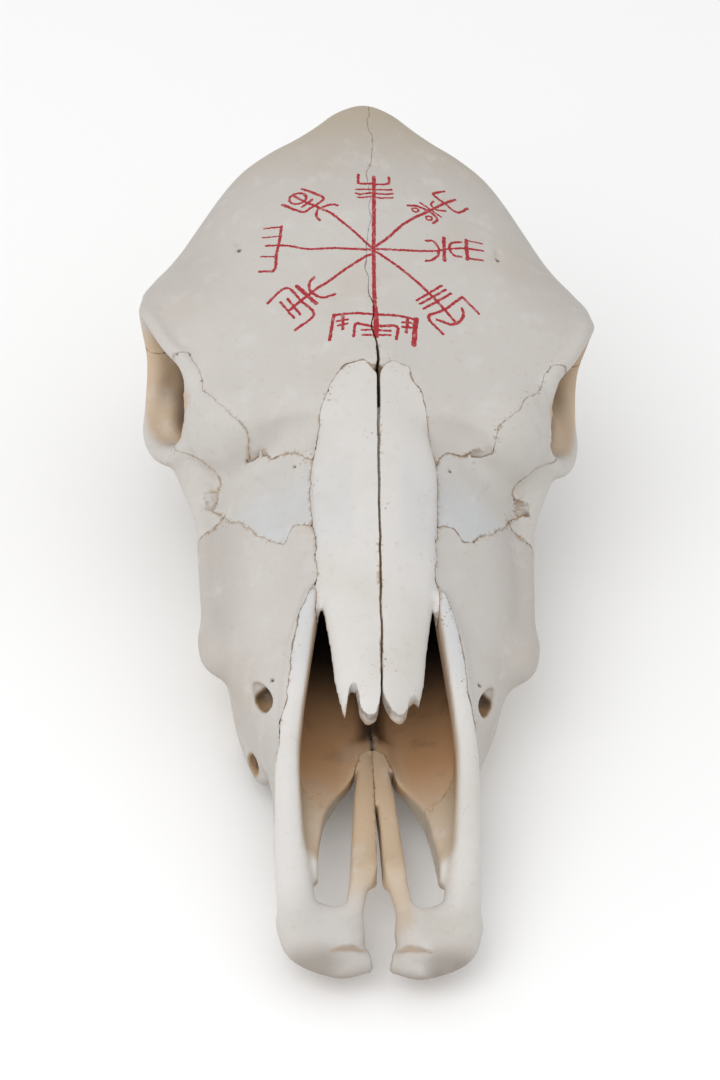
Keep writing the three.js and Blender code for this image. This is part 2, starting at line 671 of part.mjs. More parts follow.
// Outline with each side moved out by d.
function grown(outline, d) {
  const area = outline.reduce((s, p, i) => {
    const q = outline[(i + 1) % outline.length];
    return s + p[0] * q[1] - q[0] * p[1];
  }, 0);
  const out = area > 0 ? d : -d;
  return outline.map((p, i) => {
    const a = outline[(i + outline.length - 1) % outline.length];
    const b = outline[(i + 1) % outline.length];
    const u = [p[0] - a[0], p[1] - a[1]];
    const v = [b[0] - p[0], b[1] - p[1]];
    const lu = Math.hypot(...u);
    const lv = Math.hypot(...v);
    const m = [u[1] / lu + v[1] / lv, -u[0] / lu - v[0] / lv];
    const size = m[0] ** 2 + m[1] ** 2;
    return [p[0] + (2 * out * m[0]) / Math.max(size, 0.5), p[1] + (2 * out * m[1]) / Math.max(size, 0.5)];
  });
}

const sideOf = (s) => (s > 0 ? "left" : "right");
const inPlan = (outline, s, low, high, d = 0) =>
  prism(grown(outline, d), low - d, high + d, (x, y, z) => [s * x, y, z]);
const inSide = (outline, s, near, far, d = 0) =>
  prism(grown(outline, d), near - d, far + d, (y, z, x) => [s * x, y, z]);

// The largest closed surface of a solid.
function largest(s) {
  const pieces = s.decompose();
  return pieces.reduce((a, b) => (b.volume() > a.volume() ? b : a));
}

const ROUGH = surface();
const whole = thin(ROUGH, TARGET_TRIANGLES);
let rest = solid(whole.points, whole.faces);
const floorBlock = inPlan([[-FAR, -FAR], [FAR, -FAR], [FAR, 3 * FAR], [-FAR, 3 * FAR]], 1, -50, 0);
rest = rest.subtract(floorBlock);
rest = largest(rest);

const bones = {};

// Part a bone off the rest: region(d) is its space, grown by d.
function partOff(name, region) {
  bones[name] = largest(rest.intersect(region(0)));
  rest = rest.subtract(region(GAP));
}

// Nasal bones. Each has two points at its front end, and the seam between them stands open.
const NASAL_INNER = {
  1: [[2.4, 276], [2.3, 250], [1.6, 200], [1.3, 160], [0.9, 131]],
  "-1": [[-0.6, 276], [-0.8, 250], [-0.4, 200], [-0.1, 160], [0.2, 131]],
};
const NASAL_TIPS = {
  1: [
    [0.6, 111.5], [2.3, 107.4], [4.8, 103.3], [7.3, 102.2], [10, 103.3], [11.9, 106.9], [12.7, 111.2],
    [13.9, 113.7], [15.5, 115.2], [17, 113.6], [18.3, 110.2], [19.5, 106.5], [21.5, 113],
  ],
  "-1": [
    [0.4, 111.5], [1.3, 105.2], [2.7, 102.1], [5.5, 100.8], [7.8, 102.4], [9.5, 106.6], [11.1, 115.9],
    [12.8, 118.1], [14.8, 116], [16.2, 108], [17.2, 104], [20, 113],
  ],
};
const NASAL_EDGE = [123, 137, 150, 163, 180, 194, 213, 232, 240, 247, 260, 272];
const nasalOutline = (s) => [
  ...NASAL_TIPS[s],
  ...NASAL_EDGE.map((y) => [NASAL_HALF(y) + (y < 165 ? 3 : 0.2), y]),
  [15.5, 281.3], [8, 283.2], [4.4, 281.2],
  ...NASAL_INNER[s],
];
const NASAL_DEPTH = 8;
const nasalSide = [98, 130, 165, 200, 235, 262, 281, 300];
const nasalSlab = [
  ...nasalSide.map((y) => [y, DORSAL(y) - 9 - NASAL_DEPTH]),
  ...[...nasalSide].reverse().map((y) => [y, DORSAL(y) + 12]),
];
for (const s of [1, -1]) {
  partOff(`nasal_${sideOf(s)}`, (d) =>
    inPlan(nasalOutline(s), s, 60, 170, d).intersect(inSide(nasalSlab, 1, -60, 60, d)),
  );
}
// What is left of the arched plate at the points and in the seam.
rest = rest.subtract(inPlan([[-24, 90], [24, 90], [29.5, 166], [-29.5, 166]], 1, 60, 170).intersect(inSide(nasalSlab, 1, -60, 60)));
rest = rest.subtract(inPlan([[-0.8, 98], [1.2, 98], [2.8, 281], [0.4, 281]], 1, 60, 170).intersect(inSide(nasalSlab, 1, -60, 60)));

// Lacrimal bones.
const FRONTO_LACRIMAL = {
  1: [
    [29, 240], [33.7, 248], [37.7, 252.5], [46.8, 255], [51.5, 257.3], [56, 256.3], [61.5, 256.4],
    [62.4, 260], [66.8, 263.8], [71.8, 269], [79.7, 279.6], [86.7, 293.2], [92, 300],
  ],
  "-1": [
    [28.7, 238.5], [34, 246.5], [38, 251], [45.5, 253], [49, 253], [54, 256], [60.5, 255.6],
    [61.8, 258], [65.9, 260.6], [70.1, 263.3], [77.9, 269], [84.5, 278], [88.2, 293], [92, 300],
  ],
};
const LACRIMO_MAXILLARY = {
  1: [
    [29, 206], [33, 210], [40, 211.8], [43.6, 208], [49.5, 211.2], [52.4, 215.7], [59.4, 222.6],
    [67, 235.2], [73.6, 248.2], [79, 252],
  ],
  "-1": [
    [29, 206], [33, 208.5], [39.3, 211], [41.6, 207.3], [43.9, 203.2], [51.2, 209.4], [58, 220],
    [63.2, 227.2], [67.7, 233.9], [74, 246], [79, 250],
  ],
};
const LACRIMAL_OUTER = [[104, 248], [108, 290], [100, 300]];
const lacrimalPlan = (s) => [...LACRIMO_MAXILLARY[s], ...LACRIMAL_OUTER, ...[...FRONTO_LACRIMAL[s]].reverse()];
const lacrimalSide = [
  [190, 62], [246, 72], [257.5, 80], [261, 91], [264.5, 96], [270.5, 93], [276, 92], [312, 92],
  [312, 160], [190, 160],
];
// Frontal bones.
const frontalPlan = (s) => [
  [GAP / 2, 277], [4.6, 281.8], [8, 283.8], [15.6, 281.9], [22.6, 272.3], [26.6, 260], [29.4, 247],
  ...FRONTO_LACRIMAL[s],
  [100, 301], [109, 290], [FAR, 286], [FAR, 500], [GAP / 2, 500],
];
const frontalSide = [
  [225, 94], [262, 98], [300, 104], [328, 112], [350, 112], [400, 118], [440, 148], [480, 164],
  [480, 220], [225, 220],
];
// Zygomatic bones.
const zygomaticSide = [
  [245, 92], [240.5, 73.5], [237, 71], [227, 61], [240, 56], [300, 58], [340, 68], [356, 72],
  [350, 98], [356, 106], [354, 118], [322, 118], [318, 104], [300, 98], [260, 100],
];
for (const s of [1, -1]) {
  const side = sideOf(s);
  partOff(`lacrimal_${side}`, (d) =>
    inPlan(lacrimalPlan(s), s, 40, 190, d).intersect(inSide(lacrimalSide, s, 20, 130, d)),
  );
  partOff(`frontal_${side}`, (d) => inPlan(frontalPlan(s), s, 60, 230, d).intersect(inSide(frontalSide, s, -1, 150, d)));
  partOff(`zygomatic_${side}`, (d) =>
    inSide(zygomaticSide, s, 70, 140, d),
  );
}

// Incisive bones, with their palatine processes.
const incisiveSide = [
  [-20, 4], [72, 4], [74, 18], [80, 30], [104, 46], [131, 66], [150, 78], [172, 88], [184, 92],
  [184, 112], [100, 112], [-20, 70],
];
const incisivePlan = [
  [GAP / 2, -20], [70, -20], [70, 78], [56, 90], [47.5, 95.5], [45.7, 109.5], [43.6, 118.6],
  [41.4, 130.8], [40.6, 140.4], [38.3, 151.9], [34.4, 164.5], [28, 178.7], [20, 180], [20, 100],
  [GAP / 2, 100],
];
const incisivePalatine = [[GAP / 2, 40], [16, 40], [17, 76], [13, 98], [8.5, 111], [5.5, 119], [GAP / 2, 123]];
// Palatine bones round the choanae.
const palatinePlan = [[GAP / 2, 228], [20, 226], [32, 238], [36, 262], [38, 276], [38, 308], [GAP / 2, 308]];
// Vomer on the nasal floor.
rest = rest.subtract(inPlan([[-GAP / 2, -20], [GAP / 2, -20], [GAP / 2, 66], [-GAP / 2, 66]], 1, 0, 100));
partOff("vomer", (d) => inPlan([[-4.2, 127], [4.2, 127], [4.6, 236], [-4.6, 236]], 1, 37, 62, d));
for (const s of [1, -1]) {
  const side = sideOf(s);
  partOff(`incisive_${side}`, (d) =>
    inPlan(incisivePlan, s, -10, 130, d)
      .intersect(inSide(incisiveSide, s, GAP / 2, 72, d))
      .add(inPlan(incisivePalatine, s, 12, 48, d)),
  );
  partOff(`palatine_${side}`, (d) => inPlan(palatinePlan, s, 10, 60, d));
  partOff(`maxilla_${side}`, (d) =>
    inPlan([[GAP / 2, -20], [FAR, -20], [FAR, 277], [GAP / 2, 277]], s, -5, 200, d),
  );
  partOff(`temporal_${side}`, (d) =>
    inPlan([[44, 346], [60, 336], [FAR, 336], [FAR, 420], [76, 420], [68, 406], [52, 402]], s, 26, 114, d),
  );
}
bones.braincase = largest(rest);

// The scene graph.

const IVORY = 0xddd4c4;
const GREY = 0xcfcdc8;
const CREAM = 0xd8c6a6;
const TAN = 0xb89c76;
const COLOURS = { lacrimal: GREY, nasal: GREY, incisive: IVORY, palatine: TAN, vomer: TAN, temporal: CREAM };

const group = new THREE.Group();
group.name = "cow_skull";
for (const [name, body] of Object.entries(bones)) {
  const mesh = body.getMesh();
  const geometry = new THREE.BufferGeometry();
  const stride = mesh.numProp;
  const positions = new Float32Array((mesh.vertProperties.length / stride) * 3);
  for (let i = 0; i < positions.length / 3; i++)
    for (let c = 0; c < 3; c++) positions[3 * i + c] = mesh.vertProperties[stride * i + c];
  geometry.setAttribute("position", new THREE.BufferAttribute(positions, 3));
  geometry.setIndex(new THREE.BufferAttribute(new Uint32Array(mesh.triVerts), 1));
  geometry.computeVertexNormals();
  const colour = COLOURS[name.split("_")[0]] ?? IVORY;
  const made = new THREE.Mesh(geometry, new THREE.MeshStandardMaterial({ color: colour, roughness: 0.75 }));
  made.name = name;
  group.add(made);
}
const box = new THREE.Box3().setFromObject(group);
const centre = box.getCenter(new THREE.Vector3());
group.position.set(-centre.x, -centre.y, -box.min.z);

export default group;
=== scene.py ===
"""Cow skull, bleached and painted on the forehead.

Every bone is a fine mesh of the field that its CAD solid also follows. Work inside this file is in
millimetres, in skull coordinates: x across, y from the nose tip back, z up from the plane of the cheek
teeth. The pieces are moved to the row's frame, in metres, when they are made.
"""
import math

import bmesh
import bpy
import numpy as np
from mathutils import Matrix, Vector


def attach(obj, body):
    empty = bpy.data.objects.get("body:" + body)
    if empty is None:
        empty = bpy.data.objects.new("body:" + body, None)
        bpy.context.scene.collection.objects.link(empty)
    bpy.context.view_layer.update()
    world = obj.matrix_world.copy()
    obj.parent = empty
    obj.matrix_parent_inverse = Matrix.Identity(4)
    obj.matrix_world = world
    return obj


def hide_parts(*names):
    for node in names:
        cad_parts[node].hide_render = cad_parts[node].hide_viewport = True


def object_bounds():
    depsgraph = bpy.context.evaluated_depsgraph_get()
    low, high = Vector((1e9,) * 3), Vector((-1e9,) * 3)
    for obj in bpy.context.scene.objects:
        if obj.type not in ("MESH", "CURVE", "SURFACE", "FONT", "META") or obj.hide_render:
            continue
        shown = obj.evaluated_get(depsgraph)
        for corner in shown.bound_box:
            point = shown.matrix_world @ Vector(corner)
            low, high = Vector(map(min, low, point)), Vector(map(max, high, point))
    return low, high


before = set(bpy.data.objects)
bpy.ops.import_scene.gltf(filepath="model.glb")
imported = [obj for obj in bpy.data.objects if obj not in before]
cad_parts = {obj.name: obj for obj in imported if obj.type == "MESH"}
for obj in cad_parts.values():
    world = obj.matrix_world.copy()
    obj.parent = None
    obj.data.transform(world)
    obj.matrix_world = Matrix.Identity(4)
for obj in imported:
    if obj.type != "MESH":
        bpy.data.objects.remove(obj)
cad_low, cad_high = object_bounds()

CELL = 1.15
GAP = 0.12  # each bone stands this far back from its seams
LOW = np.array([-122.0, -4.0, -6.0])
HIGH = np.array([122.0, 474.0, 192.0])
FAR = 200.0
rng = np.random.default_rng(11)


# Curves and blends.

def curve(points):
    """Smooth curve through (station, value) pairs."""
    s = np.array([p[0] for p in points], float)
    v = np.array([p[1] for p in points], float)
    m = np.empty(len(s))
    m[1:-1] = (v[2:] - v[:-2]) / (s[2:] - s[:-2])
    m[0] = (v[1] - v[0]) / (s[1] - s[0])
    m[-1] = (v[-1] - v[-2]) / (s[-1] - s[-2])

    def at(t):
        t = np.clip(t, s[0], s[-1])
        i = np.clip(np.searchsorted(s, t, side="right") - 1, 0, len(s) - 2)
        h = s[i + 1] - s[i]
        u = (t - s[i]) / h
        level = (2 * u**3 - 3 * u**2 + 1) * v[i] + (3 * u**2 - 2 * u**3) * v[i + 1]
        rise = (u**3 - 2 * u**2 + u) * h * m[i] + (u**3 - u**2) * h * m[i + 1]
        return (level + rise).astype(np.float32)

    return at


def line(a, b):
    return curve([a, b])


def join(a, b, k):
    h = np.maximum(k - np.abs(a - b), 0) / k
    return np.minimum(a, b) - h * h * (k * 0.25)


def both(a, b, k):
    h = np.maximum(k - np.abs(a - b), 0) / k
    return np.maximum(a, b) + h * h * (k * 0.25)


def cut(a, b, k):
    return both(a, -b, k)


# Forms: each is a box that holds it and a distance function.

def turned(c, turn):
    """Coordinates about c in axes turned by degrees about z, then y, then x."""
    rx, ry, rz = np.radians(turn)

    def local(x, y, z):
        x, y, z = x - c[0], y - c[1], z - c[2]
        if rz:
            x, y = x * np.cos(rz) + y * np.sin(rz), y * np.cos(rz) - x * np.sin(rz)
        if ry:
            z, x = z * np.cos(ry) + x * np.sin(ry), x * np.cos(ry) - z * np.sin(ry)
        if rx:
            y, z = y * np.cos(rx) + z * np.sin(rx), z * np.cos(rx) - y * np.sin(rx)
        return x, y, z

    return local


def egg(c, r, turn=(0, 0, 0)):
    local = turned(c, turn)
    c = np.array(c, float)

    def f(x, y, z):
        x, y, z = local(x, y, z)
        k0 = np.sqrt((x / r[0]) ** 2 + (y / r[1]) ** 2 + (z / r[2]) ** 2)
        k1 = np.sqrt((x / r[0] ** 2) ** 2 + (y / r[1] ** 2) ** 2 + (z / r[2] ** 2) ** 2)
        return k0 * (k0 - 1) / np.maximum(k1, 1e-6)

    return (c - max(r), c + max(r)), f


def slab(c, h, edge, turn=(0, 0, 0)):
    local = turned(c, turn)
    c = np.array(c, float)
    reach = np.linalg.norm(h)

    def f(x, y, z):
        x, y, z = local(x, y, z)
        qx, qy, qz = np.abs(x) - h[0] + edge, np.abs(y) - h[1] + edge, np.abs(z) - h[2] + edge
        out = np.sqrt(np.maximum(qx, 0) ** 2 + np.maximum(qy, 0) ** 2 + np.maximum(qz, 0) ** 2)
        return out + np.minimum(np.maximum(np.maximum(qx, qy), qz), 0) - edge

    return (c - reach, c + reach), f


def spline(rows, per, closed=False):
    """Smooth rows between the given ones."""
    p = np.array(rows, float)
    n = len(p)
    out = []
    for i in range(n if closed else n - 1):
        b, c = p[i], p[(i + 1) % n]
        a = p[i - 1] if closed or i else 2 * b - c
        d = p[(i + 2) % n] if closed or i + 2 < n else 2 * c - b
        for j in range(per):
            t = j / per
            bend = (2 * a - 5 * b + 4 * c - d) * t * t
            out.append(0.5 * (2 * b + (c - a) * t + bend + (3 * b - a - 3 * c + d) * t**3))
    out.append(p[0] if closed else p[-1])
    return np.array(out)


def sweep(rows, flat=(1, 1, 1), per=5, closed=False):
    """Tube through rows (x, y, z, radius), flattened along the axes."""
    s = spline(rows, per, closed)
    flat = np.array(flat, float)
    reach = s[:, 3:] * flat

    def f(x, y, z):
        x, y, z = x / flat[0], y / flat[1], z / flat[2]
        best = None
        for p, q in zip(s[:-1], s[1:]):
            a = (p[:3] / flat).astype(np.float32)
            d = (q[:3] / flat).astype(np.float32) - a
            u, v, w = x - a[0], y - a[1], z - a[2]
            t = np.clip((u * d[0] + v * d[1] + w * d[2]) / (d @ d), 0, 1)
            e = np.sqrt((u - t * d[0]) ** 2 + (v - t * d[1]) ** 2 + (w - t * d[2]) ** 2)
            e -= np.float32(p[3]) + np.float32(q[3] - p[3]) * t
            best = e if best is None else np.minimum(best, e)
        return best * min(flat)

    return ((s[:, :3] - reach).min(0), (s[:, :3] + reach).max(0)), f


def wall(rows, low, high, per=5):
    """Upright wall of changing half width along rows (x, y, half width), between two levels."""
    (lo, hi), tube = sweep([(x, y, 0, r) for x, y, r in rows], (1, 1, 1), per)
    box = (np.array([lo[0], lo[1], low]), np.array([hi[0], hi[1], high]))
    return box, lambda x, y, z: np.maximum(tube(x, y, np.float32(0)), np.maximum(z - high, low - z))


def loft(span, half, level, top, low, upper, lower, cap):
    """Body along y: a superellipse with its own half width, widest level, top and bottom at each y."""

    def f(x, y, z):
        w, c = half(y), level(y)
        dz = z - c
        up = dz > 0
        h = np.where(up, top(y) - c, c - low(y))
        n = np.where(up, upper(y), lower(y))
        q = ((np.abs(x) / w) ** n + (np.abs(dz) / h) ** n) ** (1 / n)
        d = np.where(q > 1e-3, (q - 1) * np.sqrt(x * x + dz * dz) / np.maximum(q, 1e-3), -np.minimum(w, h))
        return both(d, np.maximum(span[0] - y, y - span[1]), cap)

    return (np.array([-FAR, span[0], -FAR]), np.array([FAR, span[1], FAR])), f


# The field on a grid.

count = np.ceil((HIGH - LOW) / CELL).astype(int) + 1
axes = [(LOW[i] + np.arange(count[i]) * CELL).astype(np.float32) for i in range(3)]
field = np.full(count, 40.0, np.float32)


def spans(lo, hi, pad):
    a = np.clip(np.floor((np.asarray(lo) - pad - LOW) / CELL).astype(int), 0, count - 1)
    b = np.clip(np.ceil((np.asarray(hi) + pad - LOW) / CELL).astype(int) + 1, 1, count)
    return tuple(slice(a[i], max(b[i], a[i] + 1)) for i in range(3))


def blend(how, form, k, paired=True):
    """Blend a form into the field. A paired form is made on both sides."""
    (lo, hi), f = form
    for side in (1, -1) if paired else (0,):
        low, high = np.array(lo, float), np.array(hi, float)
        if side == 1:
            low[0] = max(low[0], 0)
        if side == -1:
            low[0], high[0] = -high[0], min(-low[0], 0)
        pad = k + 2 * CELL
        s = spans(low, high, pad)
        x, y, z = axes[0][s[0]], axes[1][s[1]], axes[2][s[2]]
        if side == 1:
            keep = x >= 0
        elif side == -1:
            keep = x < 0
        else:
            keep = np.ones(len(x), bool)
        if not keep.any():
            continue
        first = s[0].start + int(np.argmax(keep))
        s = (slice(first, first + int(keep.sum())), s[1], s[2])
        x = x[keep]
        x = (np.abs(x) if side else x)[:, None, None]
        field[s] = how(field[s], f(x, y[None, :, None], z[None, None, :]).astype(np.float32), k)


def add(form, k, paired=True):
    blend(join, form, k, paired)


def take(form, k, paired=True):
    blend(cut, form, k, paired)


# Stations along y, from the nose tip at 0 to the poll at 466.

DORSAL = curve([
    (96, 80), (130, 94), (165, 105), (200, 116), (235, 128), (262, 137), (281, 144), (310, 153),
    (340, 162), (370, 170), (400, 177), (430, 183), (450, 184.5), (466, 182),
])
NASAL_HALF = curve([
    (98, 16), (107, 17.2), (123, 21), (137, 22.6), (163, 26.4), (194, 29), (232, 31), (247, 28.8),
    (260, 26), (272, 22), (282, 15), (288, 8),
])
BAR_INNER = curve([
    (40, 27), (62, 30), (80, 33.5), (97, 35), (115, 34.5), (130, 32.5), (146, 30), (158, 28), (170, 26.5),
])

face = loft(
    (100, 316),
    curve([
        (90, 46.5), (108, 48), (125, 53), (145, 62), (160, 68), (175, 74), (195, 77), (225, 78),
        (255, 79), (270, 79.5), (285, 82), (305, 84), (320, 78),
    ]),
    curve([(90, 32), (108, 36), (145, 44), (171, 52), (220, 60), (255, 66), (290, 78), (320, 90)]),
    curve([
        (90, 56), (108, 70), (130, 84), (165, 99), (200, 111), (235, 124), (262, 134), (281, 141),
        (320, 153),
    ]),
    curve([(90, 20), (108, 20), (125, 18), (200, 18), (255, 19), (275, 26), (292, 40), (320, 56)]),
    curve([(90, 2.6), (125, 2.4), (165, 1.6), (220, 1.45), (262, 1.5), (320, 2)]),
    curve([(90, 3.5), (125, 3.2), (320, 4)]),
    14,
)
muzzle = loft(
    (46, 146),
    curve([(40, 43), (62, 45.5), (90, 46), (110, 47.5), (130, 53), (150, 60)]),
    curve([(40, 25), (62, 26), (90, 29), (130, 36), (150, 42)]),
    curve([(40, 33), (62, 42), (90, 56), (120, 74), (150, 88)]),
    curve([(40, 20), (62, 19.5), (150, 19)]),
    line((40, 2.4), (150, 2.4)),
    line((40, 3.2), (150, 3.2)),
    10,
)
roof = loft(
    (262, 466),
    curve([
        (255, 62), (280, 84), (300, 97), (320, 108), (335, 114.5), (346, 115.5), (360, 110.5),
        (370, 104.5), (380, 98.5), (399, 87.5), (414, 77.5), (424, 68), (431, 57), (437, 45), (445, 33),
        (454, 23), (466, 14),
    ]),
    curve([
        (255, 118), (280, 124), (300, 130), (331, 136), (346, 135), (360, 133), (380, 135), (399, 141),
        (414, 148), (427, 157), (437, 165), (454, 172), (466, 172),
    ]),
    DORSAL,
    curve([(255, 100), (290, 112), (330, 122), (370, 118), (400, 120), (430, 130), (466, 140)]),
    curve([(255, 1.6), (290, 1.55), (340, 1.55), (380, 1.55), (410, 1.75), (440, 2), (466, 2)]),
    line((255, 2), (466, 2)),
    12,
)
braincase = loft(
    (280, 446),
    curve([(285, 26), (310, 36), (340, 46), (370, 53), (395, 58), (420, 64), (446, 66)]),
    line((285, 90), (446, 96)),
    line((285, 145), (450, 172)),
    curve([(285, 46), (340, 46), (400, 44), (446, 48)]),
    line((285, 2.6), (446, 2.6)),
    line((285, 2.4), (446, 2.6)),
    16,
)
nasal_cavity = loft(
    (52, 240),
    curve([(52, 32), (90, 36), (130, 38), (165, 41), (200, 42), (240, 38)]),
    curve([(52, 40), (90, 46), (130, 54), (165, 62), (240, 78)]),
    curve([(52, 60), (90, 72), (130, 80), (165, 92), (200, 103), (240, 112)]),
    curve([(60, 31), (90, 33), (130, 34), (165, 37), (235, 46)]),
    line((52, 2), (240, 2)),
    line((52, 2.8), (240, 2.8)),
    12,
)


def nasal_sheet(x, y, z):
    """Arched plate of the two nasal bones, still in one and without their points."""
    w = NASAL_HALF(y)
    crest = DORSAL(y) - 9 * np.minimum(np.abs(x) / w, 1.4) ** 2.2
    sheet = both(both((z - crest) * 0.93, (np.abs(x) - w) * 0.95, 4), (crest - 6 - z) * 0.93, 4)
    return both(sheet, np.maximum(98 - y, y - 287), 3)


def nasal_opening(x, y, z):
    """Everything above the nasal floor ahead of the nasal notch."""
    side = np.maximum(x - BAR_INNER(y), y - 165 + np.maximum(0, 20 - x) * 0.3)
    return np.maximum(side, 44 - z)


add(face, 8)
add(muzzle, 8)
add(roof, 12)
# Facial tuber and crest, alveolar process.
add(egg((71.5, 174, 52), (11.5, 15, 12)), 9)
add(sweep([(76, 180, 56, 5), (79, 215, 62, 4.5), (81, 250, 69, 5), (88, 276, 78, 6)]), 8)
add(sweep([
    (45, 126, 27, 8), (52, 150, 28, 9.5), (55, 190, 29, 11), (55, 235, 30, 11), (50, 262, 32, 9),
]), 7)
# Flared edge of the open sockets on the right.
add(sweep([
    (-49.5, 125.5, 17.5, 6.5), (-54, 141, 20, 7.5), (-56.5, 158, 24, 8.5), (-57, 176, 28, 9),
]), 6, False)
# Shoulder ahead of the orbit.
add(egg((70, 277, 106), (24, 20, 27), (0, 0, 35)), 12)
# Orbits and temporal fossae.
ORBIT = egg((95, 310, 105), (44, 29, 24), (0, 0, -23))
ORBIT_BED = egg((68, 330, 102), (26, 30, 20), (0, 0, -30))
FOSSA = egg((78, 372, 104), (24, 50, 24), (0, 0, 8))
take(ORBIT, 5)
take(ORBIT_BED, 8)
take(FOSSA, 8)
take(egg((80, 366, 84), (22, 40, 24), (0, 0, 6)), 8)
# Braincase, back of the head and cranial base.
add(braincase, 12)
add(slab((0, 434, 108), (58, 15, 46), 14, (-4, 0, 0)), 14, False)
add(egg((60, 422, 92), (27, 17, 34)), 14)
add(sweep([
    (83, 412, 80, 6), (81, 423, 106, 6.5), (70, 428, 130, 7), (46, 438, 146, 8), (22, 451, 160, 8),
    (0, 457, 170, 9),
]), 12)
add(sweep([
    (0, 446, 50, 12), (0, 410, 49, 12), (0, 360, 50, 10), (0, 310, 54, 10),
], (1.4, 1, 0.8)), 10, False)
# Rim of the orbit and the bar behind it.
add(sweep([
    (112, 331, 136, 4), (102, 309, 134, 3.5), (91, 296, 130, 3.5), (89, 287, 113, 4), (88, 281, 98, 4.5),
    (95, 279, 87, 5), (103, 288, 80, 5), (108, 306, 77, 5), (107.5, 322, 84, 5), (106.5, 334, 104, 5.5),
    (110, 336, 124, 5.5),
], closed=True), 6)
add(sweep([(104, 338, 131, 8), (101, 340, 112, 8), (100, 335, 90, 8)], (1, 0.9, 1)), 6)
# Zygomatic body and arch.
add(sweep([
    (80, 262, 70, 7.5), (89, 281, 75, 7.5), (98, 304, 77, 8), (98, 324, 80, 7.5), (97, 348, 84, 5.5),
    (93, 376, 84, 6), (82, 402, 82, 8),
], (0.8, 1, 1.2)), 7)
# Vault of the palate, choanae and pterygoid plates.
take(slab((0, 190, 17), (38, 96, 9), 8), 6, False)
take(slab((0, 70, 14), (36, 70, 9), 7), 6, False)
take(slab((0, 302, 44), (15, 42, 17), 8), 5, False)
add(slab((21, 298, 46), (3.5, 28, 24), 3, (0, 0, 2)), 6)
add(sweep([(20, 312, 30, 4), (21, 326, 18, 2.5)], per=2), 4)
# Condyles and the great opening.
add(egg((27, 447, 57), (17, 17, 22), (0, -12, 18)), 6)
take(sweep([(0, 474, 76, 18), (0, 428, 74, 16)], per=1), 4, False)
take(slab((0, 464, 50), (8, 14, 16), 6), 6, False)
# Processes beside the condyles, bullae and ear openings.
add(sweep([(58, 424, 62, 11), (57, 424, 40, 8), (53, 421, 18, 6), (48, 417, -4, 4.5)], (0.8, 1.4, 1)), 8)
add(egg((45, 390, 40), (8, 16, 14), (0, 0, 20)), 6)
add(sweep([(62, 400, 68, 9), (88, 404, 78, 7)], per=1), 6)
take(sweep([(80, 403, 75, 3.5), (104, 405, 82, 3.5)], per=1), 2)
# Nasal processes of the incisive bones, nasal cavity and its opening.
add(sweep([
    (37, 26, 24, 8.5), (38.5, 42, 30, 8.5), (39.5, 62, 38, 8), (40.5, 80, 46, 7.2), (41, 97, 54.5, 6.4),
    (40, 115, 64.5, 6), (38, 130, 73, 6), (35.5, 146, 82, 6), (33, 158, 88, 5.5), (30, 168, 93, 4.5),
], (1, 1, 0.8)), 5)
take(nasal_cavity, 4)
take(((np.array([0, 0, 44.0]), np.array([37, 172, 120.0])), nasal_opening), 3)
add(((np.array([-34, 96, 70.0]), np.array([34, 290, 150.0])), nasal_sheet), 3, False)
take(egg((54, 134, 60.5), (4.5, 10, 4.2), (-16, 0, -18)), 2)
# Bodies and palatine processes of the incisive bones, and the palatine fissures.
add(egg((26, 20, 21), (19, 16, 7.5), (14, 0, -10)), 5)
add(sweep([
    (6.5, 9.5, 17, 5), (19, 7.5, 16.5, 5.5), (31, 14, 19, 5), (40.5, 26, 24, 4.5),
], (1, 1.1, 0.9)), 5)
add(sweep([
    (16, 22, 23, 6), (12, 36, 26, 5.5), (8, 60, 29.5, 6), (5.5, 90, 32, 6), (4, 125, 34, 5),
], (1, 1, 0.7)), 5)
add(slab((34, 92, 28), (11, 36, 4), 3, (0, 0, 2)), 6)
take(wall([
    (19.6, 37.5, 5), (20.4, 47, 7.1), (20, 56, 7.6), (19.1, 66, 7.4), (18.1, 75, 7.1), (16.6, 84, 6.4),
    (13.6, 94, 4), (10, 103, 1.6), (8, 110, 0.5),
], 0, 52), 1.5)
take(wall([
    (0.4, -8, 6), (0.4, -3, 4), (0.4, 2, 2.2), (0.4, 10, 4.6), (0.4, 18, 5.2), (0.4, 27, 3.6),
    (0.5, 36, 1.5), (0.6, 45, 0.8), (1, 60, 0.5),
], 0, 60), 2, False)
# Vomer.
add(sweep([(0.5, 128, 38, 3), (0.5, 170, 42, 3.5), (0, 235, 52, 5)], (0.8, 1, 1.6)), 5, False)

# Cheek teeth: front of the tooth, its length, inner and outer side, lobes.
TEETH = [
    (124, 16.5, 35, 49, 1), (140.5, 17.5, 38, 54, 1), (158, 17, 40, 57.5, 1),
    (175, 25, 41, 62, 2), (200, 29, 42, 64.5, 2), (229, 31, 42, 65, 2),
]
LOST_BEFORE = 158  # teeth ahead of this are lost on the right side


